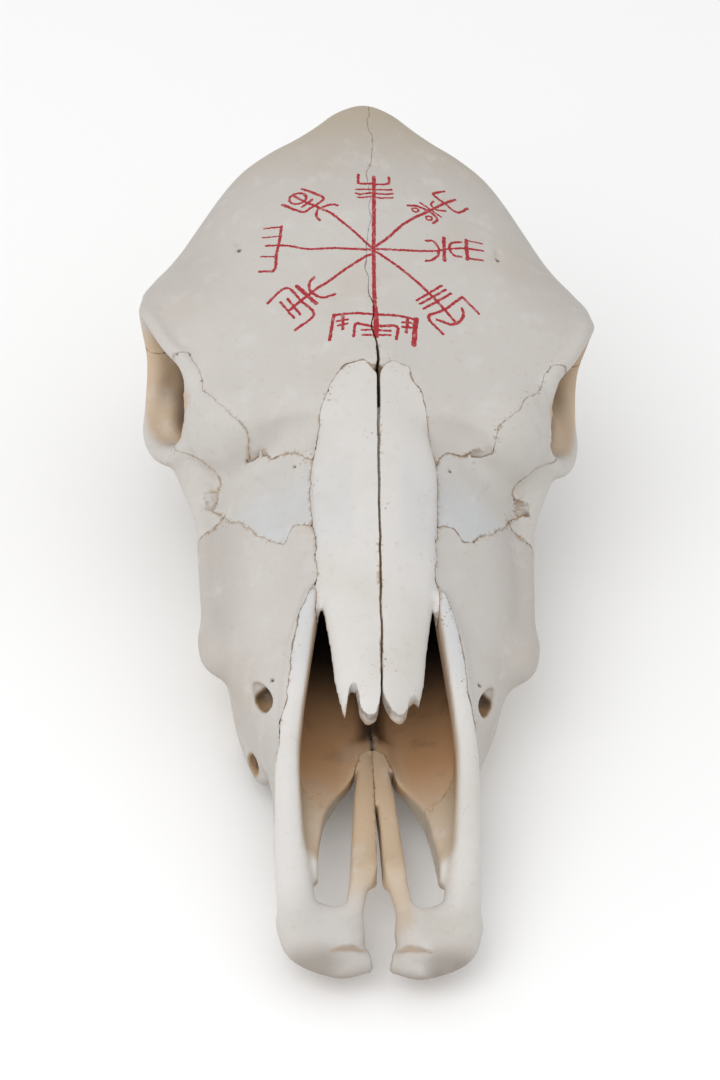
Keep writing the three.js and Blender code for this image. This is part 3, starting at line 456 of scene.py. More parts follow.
def crown(front, length, inner, outer, lobes, j):
    mid = front + length * (j + 0.5) / lobes
    half = length / lobes / 2 - 0.3
    across = (inner + outer) / 2
    block = slab((across, mid, 7), ((outer - inner) / 2, half, 16), min(half, 5))[1]
    fold = mid - half
    ridge = sweep([(outer - 1.5, fold + 2, -6, 2.2), (outer - 0.5, fold + 2.4, 22, 2.4)], per=1)[1]
    furrow = sweep([(outer + 1.5, mid + 0.3, -6, 2.6), (outer + 2, mid + 0.3, 20, 2)], per=1)[1]
    island = egg((across + 1.5, mid, 0), (4.6, half * 0.5, 2.2))[1]
    hollow = egg((across + 1.5, mid, 0), (2.6, half * 0.28, 5))[1]

    def f(x, y, z):
        d = cut(join(block(x, y, z), ridge(x, y, z), 2), furrow(x, y, z), 2)
        return cut(cut(d, island(x, y, z), 1), hollow(x, y, z), 1)

    return (np.array([inner - 3, front, -9.0]), np.array([outer + 4, front + length, 24.0])), f


def least(a, b, k):
    return np.minimum(a, b)


def mirrored(form):
    (lo, hi), f = form
    box = (np.array([-hi[0], lo[1], lo[2]]), np.array([-lo[0], hi[1], hi[2]]))
    return box, lambda x, y, z: f(-x, y, z)


for tooth in TEETH:
    for j in range(tooth[4]):
        form = crown(*tooth, j)
        blend(least, form, 1, False)
        if tooth[0] >= LOST_BEFORE:
            blend(least, mirrored(form), 1, False)
# Empty sockets of the lost teeth.
EMPTY_SOCKET = (-47, 132.5, 12)
take(egg(EMPTY_SOCKET, (6.5, 7.5, 16)), 2, False)
take(egg((-50.5, 149.5, 10), (7, 7.5, 15)), 2, False)

# Supraorbital groove and hole, infraorbital opening, and small holes of the lacrimal bone and cheek.
take(sweep([(67, 361, 160, 1.6), (67.6, 367, 156.5, 1.8), (68.2, 373, 158.5, 0.8)]), 1.5)
take(sweep([(67, 361.5, 160, 1.3), (66, 362, 148, 1.3)], per=1), 1)
INFRAORBITAL = egg((50.5, 134, 57), (6, 8, 5), (-16, 0, -18))
take(INFRAORBITAL, 1.5)
take(sweep([(38.5, 243.6, 112, 0.9), (38, 245, 106, 0.9)], per=1), 0.5)
take(sweep([(49.2, 135.7, 70, 1), (48, 137, 64, 1)], per=1), 0.5)
# Open socket on the right, ridges of the lacrimal bones and crease of the front lip.
OPEN_SOCKET = (-55, 127, 21)
OPEN_SOCKET_TURN = (0, 0, -20)
take(egg(OPEN_SOCKET, (4, 6, 4.5), OPEN_SOCKET_TURN), 1.5, False)
add(sweep([(59, 251, 97, 0.4), (54.5, 244, 98, 0.9), (51, 236, 98.2, 0.3)]), 2)
LIP_CREASE = sweep([
    (6.3, 12.3, 21.6, 0.4), (8.3, 12.2, 22.2, 1), (12, 12.1, 23.2, 1.3), (17, 10.9, 24.3, 1.1),
    (23, 9, 25, 0.3),
])
take(LIP_CREASE, 0.8)
# Narrow slit between the palatine processes, and the crack behind it.
take(wall([(0.9, 44, 1.2), (1.1, 60, 1), (1.1, 75, 0.8), (0.6, 90, 0.4)], 0, 60), 1, False)
PALATE_CRACK = sweep([
    (0, 139, 42, 0.6), (-0.8, 126, 40, 0.8), (0.2, 121.3, 37.6, 0.8), (-0.7, 117.7, 37, 0.6),
    (-0.8, 108, 36.6, 0.2),
])
take(PALATE_CRACK, 0.6, False)

# The palatine processes run on without a step where the floor of the nasal cavity begins.
SMOOTHINGS = 30
step_box = field[spans((-16, 42, 28), (16, 76, 42), 0)]
for _ in range(SMOOTHINGS):
    step_box[:, 1:-1] = (step_box[:, :-2] + 2 * step_box[:, 1:-1] + step_box[:, 2:]) / 4

# The skull stands on the plane of its teeth.
np.maximum(field, -axes[2], out=field)


# Parting into bones. Plan outlines are (x, y) and side outlines (y, z), both given for the left side.

def ripple(u, v, step):
    """Smooth random numbers from -1 to 1 over a plane, with bumps about step wide."""
    grid = rng.uniform(-1, 1, (int(np.ptp(u) / step) + 3, int(np.ptp(v) / step) + 3)).astype(np.float32)
    a, b = (u - u[0]) / step, (v - v[0]) / step
    i, j = a.astype(int), b.astype(int)
    p, q = (a - i)[:, None], (b - j)[None]
    p, q = p * p * (3 - 2 * p), q * q * (3 - 2 * q)
    near = grid[i][:, j] * (1 - q) + grid[i][:, j + 1] * q
    return near * (1 - p) + (grid[i + 1][:, j] * (1 - q) + grid[i + 1][:, j + 1] * q) * p


def jagged(u, v):
    """Random steps of the sutures."""
    return 0.85 * ripple(u, v, 6.5) + 0.45 * ripple(u, v, 2.6)


def ragged(low, high, size):
    """Roughen the surface inside a box given for the left side, on both sides."""
    for s in (1, -1):
        a, b = sorted((s * low[0], s * high[0]))
        box = spans((a, low[1], low[2]), (b, high[1], high[2]), 0)
        x, y, z = (axes[i][box[i]] for i in range(3))
        fade = [np.sin(np.pi * np.linspace(0, 1, len(t))) ** 0.5 for t in (x, y, z)]
        weight = fade[0][:, None, None] * fade[1][:, None] * fade[2]
        bumps = ripple(x, y, 2.4)[:, :, None] + ripple(y, z, 2.6)[None]
        field[box] += (size * weight * bumps).astype(np.float32)


def ramp(t, a, b):
    """From 0 at a up to 1 at b."""
    s = np.clip((t - a) / (b - a), 0, 1)
    return s * s * (3 - 2 * s)


def fall(t, a, b):
    """From 1 at a down to 0 at b."""
    return ramp(-t, -b, -a)


# Midline crack between the frontal bones, and how far it stands open.
SEAM = curve([
    (283, 1.8), (290.5, 1.1), (297.5, 0.2), (303.4, -0.6), (310.5, 0.1), (318, -0.8), (325.5, -1.6),
    (331.5, -2), (344.5, -2.7), (352, -2.5), (362, -1.2), (373, 0.2), (380, -1.1), (387, 0.1),
    (396, -0.2), (405, -0.4), (410, 1.8), (421, 2.8), (440, 1.5), (466, 1),
])
OPEN = curve([(277, 0.8), (285, 0.7), (300, 0.4), (330, 0.12), (350, 0.03), (466, 0)])

ragged((76, 258, 84), (96, 302, 132), 0.55)
X, Y = np.meshgrid(axes[0], axes[1], indexing="ij")
calm = 0.3 + 0.7 * np.maximum(ramp(np.abs(X), 5, 9), ramp(Y, 284, 290))
plan_x = X + calm * jagged(axes[0], axes[1]) - SEAM(Y) * ramp(Y, 277, 284)
plan_y = Y + calm * jagged(axes[0], axes[1])
side_y = [axes[1][:, None] + 0.35 * jagged(axes[1], axes[2]) for _ in range(2)]
side_z = [axes[2][None] + 0.35 * jagged(axes[1], axes[2]) for _ in range(2)]


def inside(outline, u, v):
    """Signed distance to a closed outline."""
    best = np.full(np.broadcast(u, v).shape, 1e9, np.float32)
    odd = np.zeros(best.shape, bool)
    for (ax, ay), (bx, by) in zip(outline, outline[1:] + outline[:1]):
        dx, dy = bx - ax, by - ay
        t = np.clip(((u - ax) * dx + (v - ay) * dy) / (dx * dx + dy * dy), 0, 1)
        best = np.minimum(best, (u - ax - t * dx) ** 2 + (v - ay - t * dy) ** 2)
        if dy:
            odd ^= ((ay > v) != (by > v)) & (u < ax + (v - ay) * dx / dy)
    return np.where(odd, -1, 1) * np.sqrt(best)


def in_plan(outline, s, low, high):
    """Distance to the outline's inside on side s (1 left, -1 right), between two levels."""
    d = inside(outline, s * plan_x, plan_y)[:, :, None]
    return np.maximum(d, np.maximum(low - axes[2], axes[2] - high))


def in_side(outline, s, near, far):
    """Distance to the outline's inside on side s, between two distances from the middle."""
    k = 0 if s > 0 else 1
    d = inside(outline, side_y[k], side_z[k])[None]
    return np.maximum(d, np.maximum(near - s * axes[0], s * axes[0] - far)[:, None, None])


def in_both(plan, side, s, levels, reach):
    return np.maximum(in_plan(plan, s, *levels), in_side(side, s, *reach))


# Nasal bones: the outline runs from the inner edge round the points, up the outer edge and back.
NASAL_INNER = {
    1: [(2.4, 276), (2.3, 250), (1.6, 200), (1.3, 160), (0.9, 131)],
    -1: [(-0.6, 276), (-0.8, 250), (-0.4, 200), (-0.1, 160), (0.2, 131)],
}
NASAL_TIPS = {
    1: [
        (0.6, 111.5), (2.3, 107.4), (4.8, 103.3), (7.3, 102.2), (10, 103.3), (11.9, 106.9), (12.7, 111.2),
        (13.9, 113.7), (15.5, 115.2), (17, 113.6), (18.3, 110.2), (19.5, 106.5), (21.5, 113),
    ],
    -1: [
        (0.4, 111.5), (1.3, 105.2), (2.7, 102.1), (5.5, 100.8), (7.8, 102.4), (9.5, 106.6), (11.1, 115.9),
        (12.8, 118.1), (14.8, 116), (16.2, 108), (17.2, 104), (20, 113),
    ],
}
NASAL_EDGE = (123, 137, 150, 163, 180, 194, 213, 232, 240, 247, 260, 272)


def nasal_outline(s):
    rim = [(float(NASAL_HALF(y)) + (3 if y < 165 else 0.2), y) for y in NASAL_EDGE]
    return NASAL_TIPS[s] + rim + [(15.5, 281.3), (8, 283.2), (4.4, 281.2)] + NASAL_INNER[s]


STATIONS = (98, 130, 165, 200, 235, 262, 281, 300)
SHELF = 2  # depth of the floor of the slit between the nasal bones
NASAL_LEVELS = (60, 170)
nasal_slab = [(y, float(DORSAL(y)) - 17) for y in STATIONS]
nasal_slab += [(y, float(DORSAL(y)) + 12) for y in STATIONS[::-1]]

FRONTO_LACRIMAL = {
    1: [
        (29, 240), (33.7, 248), (37.7, 252.5), (46.8, 255), (51.5, 257.3), (56, 256.3), (61.5, 256.4),
        (62.4, 260), (66.8, 263.8), (71.8, 269), (79.7, 279.6), (86.7, 293.2), (92, 300),
    ],
    -1: [
        (28.7, 238.5), (34, 246.5), (38, 251), (45.5, 253), (49, 253), (54, 256), (60.5, 255.6),
        (61.8, 258), (65.9, 260.6), (70.1, 263.3), (77.9, 269), (84.5, 278), (88.2, 293), (92, 300),
    ],
}
LACRIMO_MAXILLARY = {
    1: [
        (29, 206), (33, 210), (40, 211.8), (43.6, 208), (49.5, 211.2), (52.4, 215.7), (59.4, 222.6),
        (67, 235.2), (73.6, 248.2), (79, 252),
    ],
    -1: [
        (29, 206), (33, 208.5), (39.3, 211), (41.6, 207.3), (43.9, 203.2), (51.2, 209.4), (58, 220),
        (63.2, 227.2), (67.7, 233.9), (74, 246), (79, 250),
    ],
}
LACRIMAL_OUTER = [(104, 248), (108, 290), (100, 300)]


def lacrimal_plan(s):
    return LACRIMO_MAXILLARY[s] + LACRIMAL_OUTER + FRONTO_LACRIMAL[s][::-1]


def frontal_plan(s):
    front = [(0, 275), (4.6, 279.5), (8, 281), (14.6, 279.4), (20.6, 270.4), (25, 260), (28, 247)]
    return front + FRONTO_LACRIMAL[s] + [(100, 301), (109, 290), (FAR, 286), (FAR, 500), (0, 500)]


lacrimal_side = [
    (190, 62), (246, 72), (257.5, 80), (261, 91), (264.5, 96), (270.5, 93), (276, 92), (312, 92),
    (312, 160), (190, 160),
]
frontal_side = [
    (225, 84), (258, 88), (276, 97), (300, 104), (328, 112), (350, 112), (400, 118), (440, 148),
    (480, 164), (480, 220), (225, 220),
]
zygomatic_side = [
    (245, 92), (240.5, 73.5), (237, 71), (227, 61), (240, 56), (300, 58), (340, 68), (356, 72),
    (350, 98), (356, 106), (354, 118), (322, 118), (318, 104), (300, 98), (260, 100),
]
incisive_side = [
    (-20, 4), (72, 4), (74, 18), (80, 30), (104, 46), (131, 66), (150, 78), (172, 88), (184, 92),
    (184, 112), (100, 112), (-20, 70),
]
incisive_plan = [
    (0, -20), (70, -20), (70, 78), (56, 90), (47.5, 95.5), (45.7, 109.5), (43.6, 118.6), (41.4, 130.8),
    (40.6, 140.4), (38.3, 151.9), (34.4, 164.5), (28, 178.7), (20, 180), (20, 100), (0, 100),
]
incisive_palatine = [(0, 40), (16, 40), (17, 76), (13, 98), (8.5, 111), (5.5, 119), (0, 123)]
palatine_plan = [(0, 228), (20, 226), (32, 238), (36, 262), (38, 276), (38, 308), (0, 308)]
temporal_plan = [(44, 346), (60, 336), (FAR, 336), (FAR, 420), (76, 420), (68, 406), (52, 402)]


def net(d, origin):
    """Closed quad mesh of the zero surface of the grid d."""
    ins = d < 0
    lower, upper = halves = slice(0, -1), slice(1, None)
    hits = sum(ins[a, b, c].astype(np.int8) for a in halves for b in halves for c in halves)
    cells = np.argwhere((hits > 0) & (hits < 8))
    index = np.full(hits.shape, -1, np.int32)
    index[tuple(cells.T)] = np.arange(len(cells))
    total, met = np.zeros((len(cells), 3)), np.zeros(len(cells))
    corners = [(a, b, c) for a in (0, 1) for b in (0, 1) for c in (0, 1)]
    value = {o: d[tuple((cells + o).T)] for o in corners}
    for a in corners:
        for axis in range(3):
            if a[axis]:
                continue
            b = tuple(1 if n == axis else v for n, v in enumerate(a))
            m = (value[a] < 0) != (value[b] < 0)
            point = np.tile(np.array(a, float), (int(m.sum()), 1))
            point[:, axis] += value[a][m] / (value[a][m] - value[b][m])
            total[m] += point
            met[m] += 1
    quads = []
    for axis in range(3):
        u, v = (axis + 1) % 3, (axis + 2) % 3
        a = ins[tuple(lower if n == axis else slice(None) for n in range(3))]
        b = ins[tuple(upper if n == axis else slice(None) for n in range(3))]
        e = np.argwhere(a != b)
        e = e[(e[:, u] > 0) & (e[:, v] > 0) & (e[:, u] < d.shape[u] - 1) & (e[:, v] < d.shape[v] - 1)]
        back = np.eye(3, dtype=int)
        around = [e - s * back[u] - t * back[v] for s, t in ((1, 1), (0, 1), (0, 0), (1, 0))]
        q = np.stack([index[tuple(cell.T)] for cell in around], 1)
        out = ~a[tuple(e.T)]
        q[out] = q[out][:, ::-1]
        quads.append(q)
    return (cells + total / met[:, None]) * CELL + origin, np.concatenate(quads)


def largest(points, quads):
    """The largest closed surface of a mesh."""
    label = np.arange(len(points))
    a, b = quads.ravel(), np.roll(quads, -1, 1).ravel()
    while True:
        low = np.minimum(label[a], label[b])
        new = label.copy()
        np.minimum.at(new, a, low)
        np.minimum.at(new, b, low)
        new = new[new]
        if (new == label).all():
            break
        label = new
    names, size = np.unique(label, return_counts=True)
    keep = label == names[np.argmax(size)]
    place = np.cumsum(keep) - 1
    return points[keep], place[quads[keep[quads[:, 0]]]]


def sample(grid, origin, p):
    """Values of a grid at points, blended between its nodes."""
    t = np.clip((p - origin) / CELL, 0, np.array(grid.shape) - 1.001)
    i = t.astype(int)
    f = (t - i).astype(np.float32)
    out = 0
    for a in (0, 1):
        for b in (0, 1):
            for c in (0, 1):
                weight = np.abs(1 - a - f[:, 0]) * np.abs(1 - b - f[:, 1]) * np.abs(1 - c - f[:, 2])
                out = out + weight * grid[i[:, 0] + a, i[:, 1] + b, i[:, 2] + c]
    return out


def gradient(grid, origin, p):
    steps = np.eye(3) * CELL * 0.5
    return np.stack([sample(grid, origin, p + d) - sample(grid, origin, p - d) for d in steps], 1) / CELL


def sharpen(points, edge, origin):
    """Move the points where the surface meets a seam onto the corner itself."""
    for _ in range(2):
        a, b = sample(field, LOW, points), sample(edge, origin, points)
        near = np.nonzero((np.abs(a) < 0.8 * CELL) & (np.abs(b) < 0.8 * CELL))[0]
        if not len(near):
            return points
        p = points[near]
        u, v = gradient(field, LOW, p), gradient(edge, origin, p)
        uu, vv, uv = (u * u).sum(1), (v * v).sum(1), (u * v).sum(1)
        det = uu * vv - uv * uv
        good = det > 0.25 * uu * vv
        det = np.where(good, det, 1)
        s = (vv * a[near] - uv * b[near]) / det
        r = (uu * b[near] - uv * a[near]) / det
        move = s[:, None] * u + r[:, None] * v
        size = np.linalg.norm(move, axis=1)
        move *= (good * np.minimum(1, 0.7 * CELL / np.maximum(size, 1e-6)))[:, None]
        points[near] = p - move
    return points


taken = np.full(field.shape, FAR, np.float16)  # distance to what has been parted off so far
bones = {}
edge_grids = {}


def part_off(name, region, opened=None):
    """Part a bone off the rest. Its mesh comes with the distance to its seams, negative inside it."""
    near = np.maximum(region, field) < 2 * CELL
    span = tuple(slice(max(int(n.min()) - 2, 0), int(n.max()) + 3) for n in np.nonzero(near))
    edge = np.maximum(region[span], -taken[span].astype(np.float32))
    if opened is not None:
        edge = np.maximum(edge, opened[span[0], span[1]])
    origin = LOW + np.array([s.start for s in span]) * CELL
    points, quads = largest(*net(np.maximum(field[span], edge), origin))
    points = sharpen(points, edge, origin)
    bones[name] = (points, quads, sample(edge, origin, points))
    if name.startswith("frontal"):
        edge_grids[f"{name}_bone"] = (edge, origin)
    np.minimum(taken[span], (region[span] - GAP).astype(np.float16), out=taken[span])


SIDES = {"left": 1, "right": -1}
solid = field[int(round((1 - LOW[0]) / CELL))] < 0
highest = solid.shape[1] - 1 - np.argmax(solid[:, ::-1], 1)
CREST = np.where(solid.any(1), axes[2][highest], 0)  # top of the skull along x = 1
depth = (CREST[:, None] - axes[2])[None]
shelf = in_plan([(-2, 124), (2.4, 124), (4, 262), (-2, 262)], 1, *NASAL_LEVELS)
shelf = np.maximum(shelf, np.maximum(SHELF - depth, depth - SHELF - 5))
arch = in_side(nasal_slab, 1, -60, 60)
for side, s in SIDES.items():
    nasal = np.maximum(in_plan(nasal_outline(s), s, *NASAL_LEVELS), arch)
    part_off(f"nasal_{side}", np.minimum(nasal, shelf) if s > 0 else nasal)
# Nothing else reaches in under the nasal bones or into the slit between them.
ends = [(-24, 90), (24, 90), (29.5, 166), (-29.5, 166)]
slit = [(-0.8, 98), (1.2, 98), (2.8, 281), (0.4, 281)]
for outline in (ends, slit):
    np.maximum(field, -np.maximum(in_plan(outline, 1, *NASAL_LEVELS), arch), out=field)
for side, s in SIDES.items():
    part_off(f"lacrimal_{side}", in_both(lacrimal_plan(s), lacrimal_side, s, (40, 190), (20, 130)))
    crack = (OPEN(Y) - s * plan_x)[:, :, None]
    part_off(f"frontal_{side}", in_both(frontal_plan(s), frontal_side, s, (60, 230), (-8, 150)), crack)
    part_off(f"zygomatic_{side}", in_side(zygomatic_side, s, 70, 140))
part_off("vomer", in_plan([(-4.2, 127), (4.2, 127), (4.6, 236), (-4.6, 236)], 1, 37, 62))
for side, s in SIDES.items():
    palatine = in_plan(incisive_palatine, s, 12, 48)
    body = in_both(incisive_plan, incisive_side, s, (-10, 130), (0, 72))
    part_off(f"incisive_{side}", np.minimum(body, palatine))
    part_off(f"palatine_{side}", in_plan(palatine_plan, s, 10, 60))
    part_off(f"maxilla_{side}", in_plan([(0, -20), (FAR, -20), (FAR, 277), (0, 277)], s, -5, 200))
    part_off(f"temporal_{side}", in_plan(temporal_plan, s, 26, 114))
part_off("braincase", np.full(field.shape, -FAR, np.float32))


# Colours over the surface.

def mix(a, b, t):
    t = np.clip(np.broadcast_to(t, len(a)), 0, 1)
    return a + (np.array(b) - a) * t[:, None]


IVORY = (0.525, 0.497, 0.465)
PALE = (0.63, 0.612, 0.59)
GREY = (0.545, 0.54, 0.53)
BLUE = (0.5, 0.52, 0.545)
DULL = (0.4, 0.365, 0.33)
CREAM = (0.4, 0.33, 0.235)
STRAW = (0.53, 0.39, 0.255)
TAN = (0.34, 0.21, 0.11)
UMBER = (0.44, 0.235, 0.105)
OLIVE = (0.13, 0.075, 0.035)
BROWN = (0.075, 0.045, 0.025)
RUST = (0.2, 0.12, 0.06)
PORE = (0.3, 0.225, 0.155)
# Near black, for painted shade deep in the orbits, holes, nasal cavity and cracks.
SHADE_BLACK = (0.006, 0.004, 0.003)
# Grey brown, for painted shade under the front lip.
SHADE_GREY = (0.27, 0.235, 0.2)
ENAMEL = (0.5, 0.43, 0.32)
PAINT = (0.33, 0.006, 0.014)


def hollows(points, normals):
    """How hollow the bone is at each point: how much of the space ahead of it is bone again."""
    hollow = np.zeros(len(points))
    for reach, weight in ((2, 0.22), (5, 0.3), (11, 0.32), (22, 0.3)):
        free = sample(field, LOW, points + normals * reach)
        hollow += weight * np.clip(1 - free / (0.75 * reach), 0, 1)
    return hollow


def bone_colour(family, x, y, z):
    """Colour of each bone; the vomer, deep in the nasal cavity, is painted dark brown as shade."""
    ax = np.abs(x)
    c = np.tile(np.array(IVORY), (len(x), 1))
    if family in ("nasal", "incisive"):
        c = mix(c, PALE, 0.5 + 0.45 * fall(y, 225, 276))
    if family == "lacrimal":
        c = mix(c, CREAM, ramp(ax, 50, 62) * 0.15)
        c = mix(c, GREY, 0.3 + 0.5 * fall(y, 228, 252) * fall(ax, 52, 70))
        c = mix(c, BLUE, fall(y, 222, 246) * 0.5)
    # The maxilla darker towards its lower edge and its outer side.
    if family == "maxilla":
        c = mix(c, DULL, np.maximum(fall(z, 42, 66) * 0.45, ramp(ax, 54, 74) * 0.5))
    if family == "frontal":
        c = mix(c, DULL, ramp(y, 360, 430) * 0.5)
        c = mix(c, DULL, ramp(ax, 58, 96) * ramp(y, 305, 345) * 0.4)
    # Painted shade: the vomer lies deep in the nasal cavity and is made dark brown.
    if family == "vomer":
        c = mix(c, BROWN, 0.8)
    if family in ("braincase", "temporal", "palatine"):
        c = mix(c, CREAM, 0.5)
    return c


def tinge(c, family, x, y, z):
    """Bluish tinge of the nasal bones and of the tops of the bars, and the slit between the nasal bones."""
    ax = np.abs(x)
    if family == "nasal":
        c = mix(c, BLUE, ramp(ax, 9, 15) * ramp(y, 180, 200) * fall(y, 215, 250) * 0.35)
        depth = ramp(np.interp(y, axes[1], CREST) - z, 0.7, 1.4)
        slit_depth = fall(ax, 3.6, 4.5) * depth * ramp(y, 112, 126)
        c = mix(c, DULL, slit_depth)
        c = mix(c, TAN, slit_depth * fall(y, 185, 225))
    if family == "incisive":
        c = mix(c, BLUE, ramp(y, 122, 140) * 0.5)
    return c


def stain_and_shade_orbits(c, x, y, z, normals):
    """Orbits, temporal fossae and the bars between them: straw stain within, painted shade deeper in and on
    the bars.
    """
    ax = np.abs(x)
    socket, bed, fossa = (form[1](ax, y, z) for form in (ORBIT, ORBIT_BED, FOSSA))
    within = ramp(-np.minimum(np.minimum(socket, bed), fossa), -2.5, 0.5)
    c = mix(c, STRAW, within * 0.8)
    # Painted shade deeper in: tan towards the middle, olive and near black at the back of the orbits.
    c = mix(c, TAN, within * (0.05 + 0.2 * fall(ax, 80, 102)))
    c = mix(c, OLIVE, within * fall(ax, 58, 78) * ramp(y, 296, 322))
    c = mix(c, SHADE_BLACK, within * fall(ax, 52, 70) * 0.7)
    # On the bars behind the orbits: straw as painted shade on the faces that look forward, and tan as
    # painted shade on the bar of the left side.
    bar = ramp(y, 322, 334) * fall(y, 346, 352) * ramp(ax, 92, 98) * fall(z, 120, 132)
    c = mix(c, STRAW, bar * 0.8 * ramp(-normals[:, 1], -0.2, 0.6))
    return mix(c, TAN, bar * ramp(x, 20, 40) * 0.35)


def shade_openings(c, x, y, z):
    """Painted shade in the infraorbital opening and the open sockets beside it."""
    canal = INFRAORBITAL[1](np.abs(x), y, z)
    # Painted shade: tan inside the opening, near black deep in it, and tan in the sockets.
    c = mix(c, TAN, ramp(-canal, -1, 0.3))
    c = mix(c, SHADE_BLACK, ramp(-canal, -0.5, 0.4) * ramp(y + 0.5 * z, 160, 167))
    open_socket = egg(OPEN_SOCKET, (5, 7, 5.5), OPEN_SOCKET_TURN)[1](x, y, z)
    empty_socket = egg(EMPTY_SOCKET, (7, 8, 16))[1](x, y, z)
    return mix(c, TAN, ramp(-np.minimum(open_socket, empty_socket), -1.2, 0.2) * 0.8)


def stain_and_shade_cavity(c, x, y, z):
    """Nasal cavity: its walls straw, turning umber further back, with painted shade that goes olive and
    near black the deeper they lie.
    """
    ax, roof_height = np.abs(x), DORSAL(y)
    d = nasal_cavity[1](x, y, z)
    within = fall(d, 0.4, 3.2) * fall(z, roof_height - 7, roof_height - 3)
    c = mix(c, STRAW, within * 0.8)
    c = mix(c, UMBER, within * ramp(y + 0.35 * (z - 40), 70, 118) * 0.9)
    c = mix(c, OLIVE, within * ramp(y + 0.2 * (z - 40), 132, 184) * 0.85)
    c = mix(c, STRAW, within * fall(ax, 11, 19) * ramp(y, 92, 104) * fall(y, 120, 138) * 0.4)
    c = mix(c, OLIVE, within * fall(ax, 2.5, 9) * ramp(y, 117, 133))
    c = mix(c, SHADE_BLACK, within * fall(ax, 1, 5) * ramp(y, 119, 132) * 0.8)
    # Painted shade: the crack in the palate near black.
    c = mix(c, SHADE_BLACK, ramp(-PALATE_CRACK[1](x, y, z), -0.7, 0.1))
    return mix(c, SHADE_BLACK, within * ramp(y, 148, 190))


def stain_and_shade_incisive(c, x, y, z, normals):
    """Inner side of the bars, the processes along the midline and the front lip, with painted shade on the
    inward faces and under the lip.
    """
    ax = np.abs(x)
    inner = fall(ax, 20, 26) * ramp(y, 24, 52) * fall(y, 175, 190)
    inner = np.maximum(inner, 0.9 * ramp(x, 1, 4) * fall(x, 12, 18) * ramp(y, 11, 28))
    c = mix(c, STRAW, inner * 0.85)
    # Painted shade on the faces that turn inward: cream, then tan further back.
    inward = -normals[:, 0] * np.sign(x)
    c = mix(c, CREAM, ramp(inward, 0.2, 0.8) * ramp(ax, 20, 27) * ramp(y, 30, 60) * 0.45)
    c = mix(c, TAN, ramp(inward, 0.3, 0.9) * ramp(ax, 22, 27) * ramp(y, 70, 110) * 0.7)
    # Painted shade on the front of the body, on its underside and tip, along its lower edge and in the
    # crease of the lip.
    c = mix(c, DULL, fall(y, 14, 44) * 0.45)
    under = fall(z, 13, 25) * fall(y, 16, 46) * 0.8
    tip = fall(y, 5, 15) * (0.2 + 0.65 * ramp(ax, 12, 27))
    c = mix(c, SHADE_GREY, np.maximum(under, tip))
    c = mix(c, TAN, fall(z, 11, 18) * 0.5)
    return mix(c, TAN, ramp(-LIP_CREASE[1](ax, y, z), -0.7, 0.1) * 0.6)


def stain_and_shade_teeth(c, y, z, hollow):
    tooth = fall(z, 10, 14) * ramp(y, 118, 124)
    c = mix(c, ENAMEL, tooth)
    # Brown in the folds of the teeth: their own stain, with painted shade where they are hollow.
    return mix(c, BROWN, tooth * ramp(hollow, 0.15, 0.5) * 0.75)


def colours(name, points, normals):
    """Base colour of each point of a bone."""
    x, y, z = points.T.astype(np.float32)
    family = name.split("_")[0]
    hollow = hollows(points, normals)
    c = bone_colour(family, x, y, z)
    # Painted shade in the hollows: cream, then tan where they are deepest.
    c = mix(c, CREAM, ramp(hollow, 0.25, 0.6) * 0.7)
    c = mix(c, TAN, ramp(hollow, 0.5, 0.95) * 0.7)
    c = tinge(c, family, x, y, z)
    # Stain of the poll, and painted shade on the faces that look down.
    c = mix(c, CREAM, ramp(y, 400, 462) * 0.9)
    c = mix(c, CREAM, ramp(-normals[:, 2], 0.1, 0.9) * 0.6)
    c = stain_and_shade_orbits(c, x, y, z, normals)
    c = shade_openings(c, x, y, z)
    c = stain_and_shade_cavity(c, x, y, z)
    if family == "incisive":
        c = stain_and_shade_incisive(c, x, y, z, normals)
    if family == "maxilla":
        c = stain_and_shade_teeth(c, y, z, hollow)
    return c


def seam_stain(name, points):
    """How dark the seams of a bone are, place by place."""
    x, y, z = np.abs(points).T
    family = name.split("_")[0]
    dark = np.full(len(x), 0.7)
    if family in ("frontal", "lacrimal"):
        dark = 0.35 + 0.5 * fall(x, 50, 58) * fall(y, 270, 296) + 0.5 * ramp(x, 88, 94) * ramp(y, 312, 324)
    along = (x < 32.5) & (y < 250) if family in ("lacrimal", "maxilla", "frontal") else family == "nasal"
    dark = np.where(along, 0.1 + 0.6 * ramp(y, 258, 274) + 0.4 * fall(y, 166, 178), dark)
    return dark * ramp(sample(field, LOW, points), -0.75, -0.2)


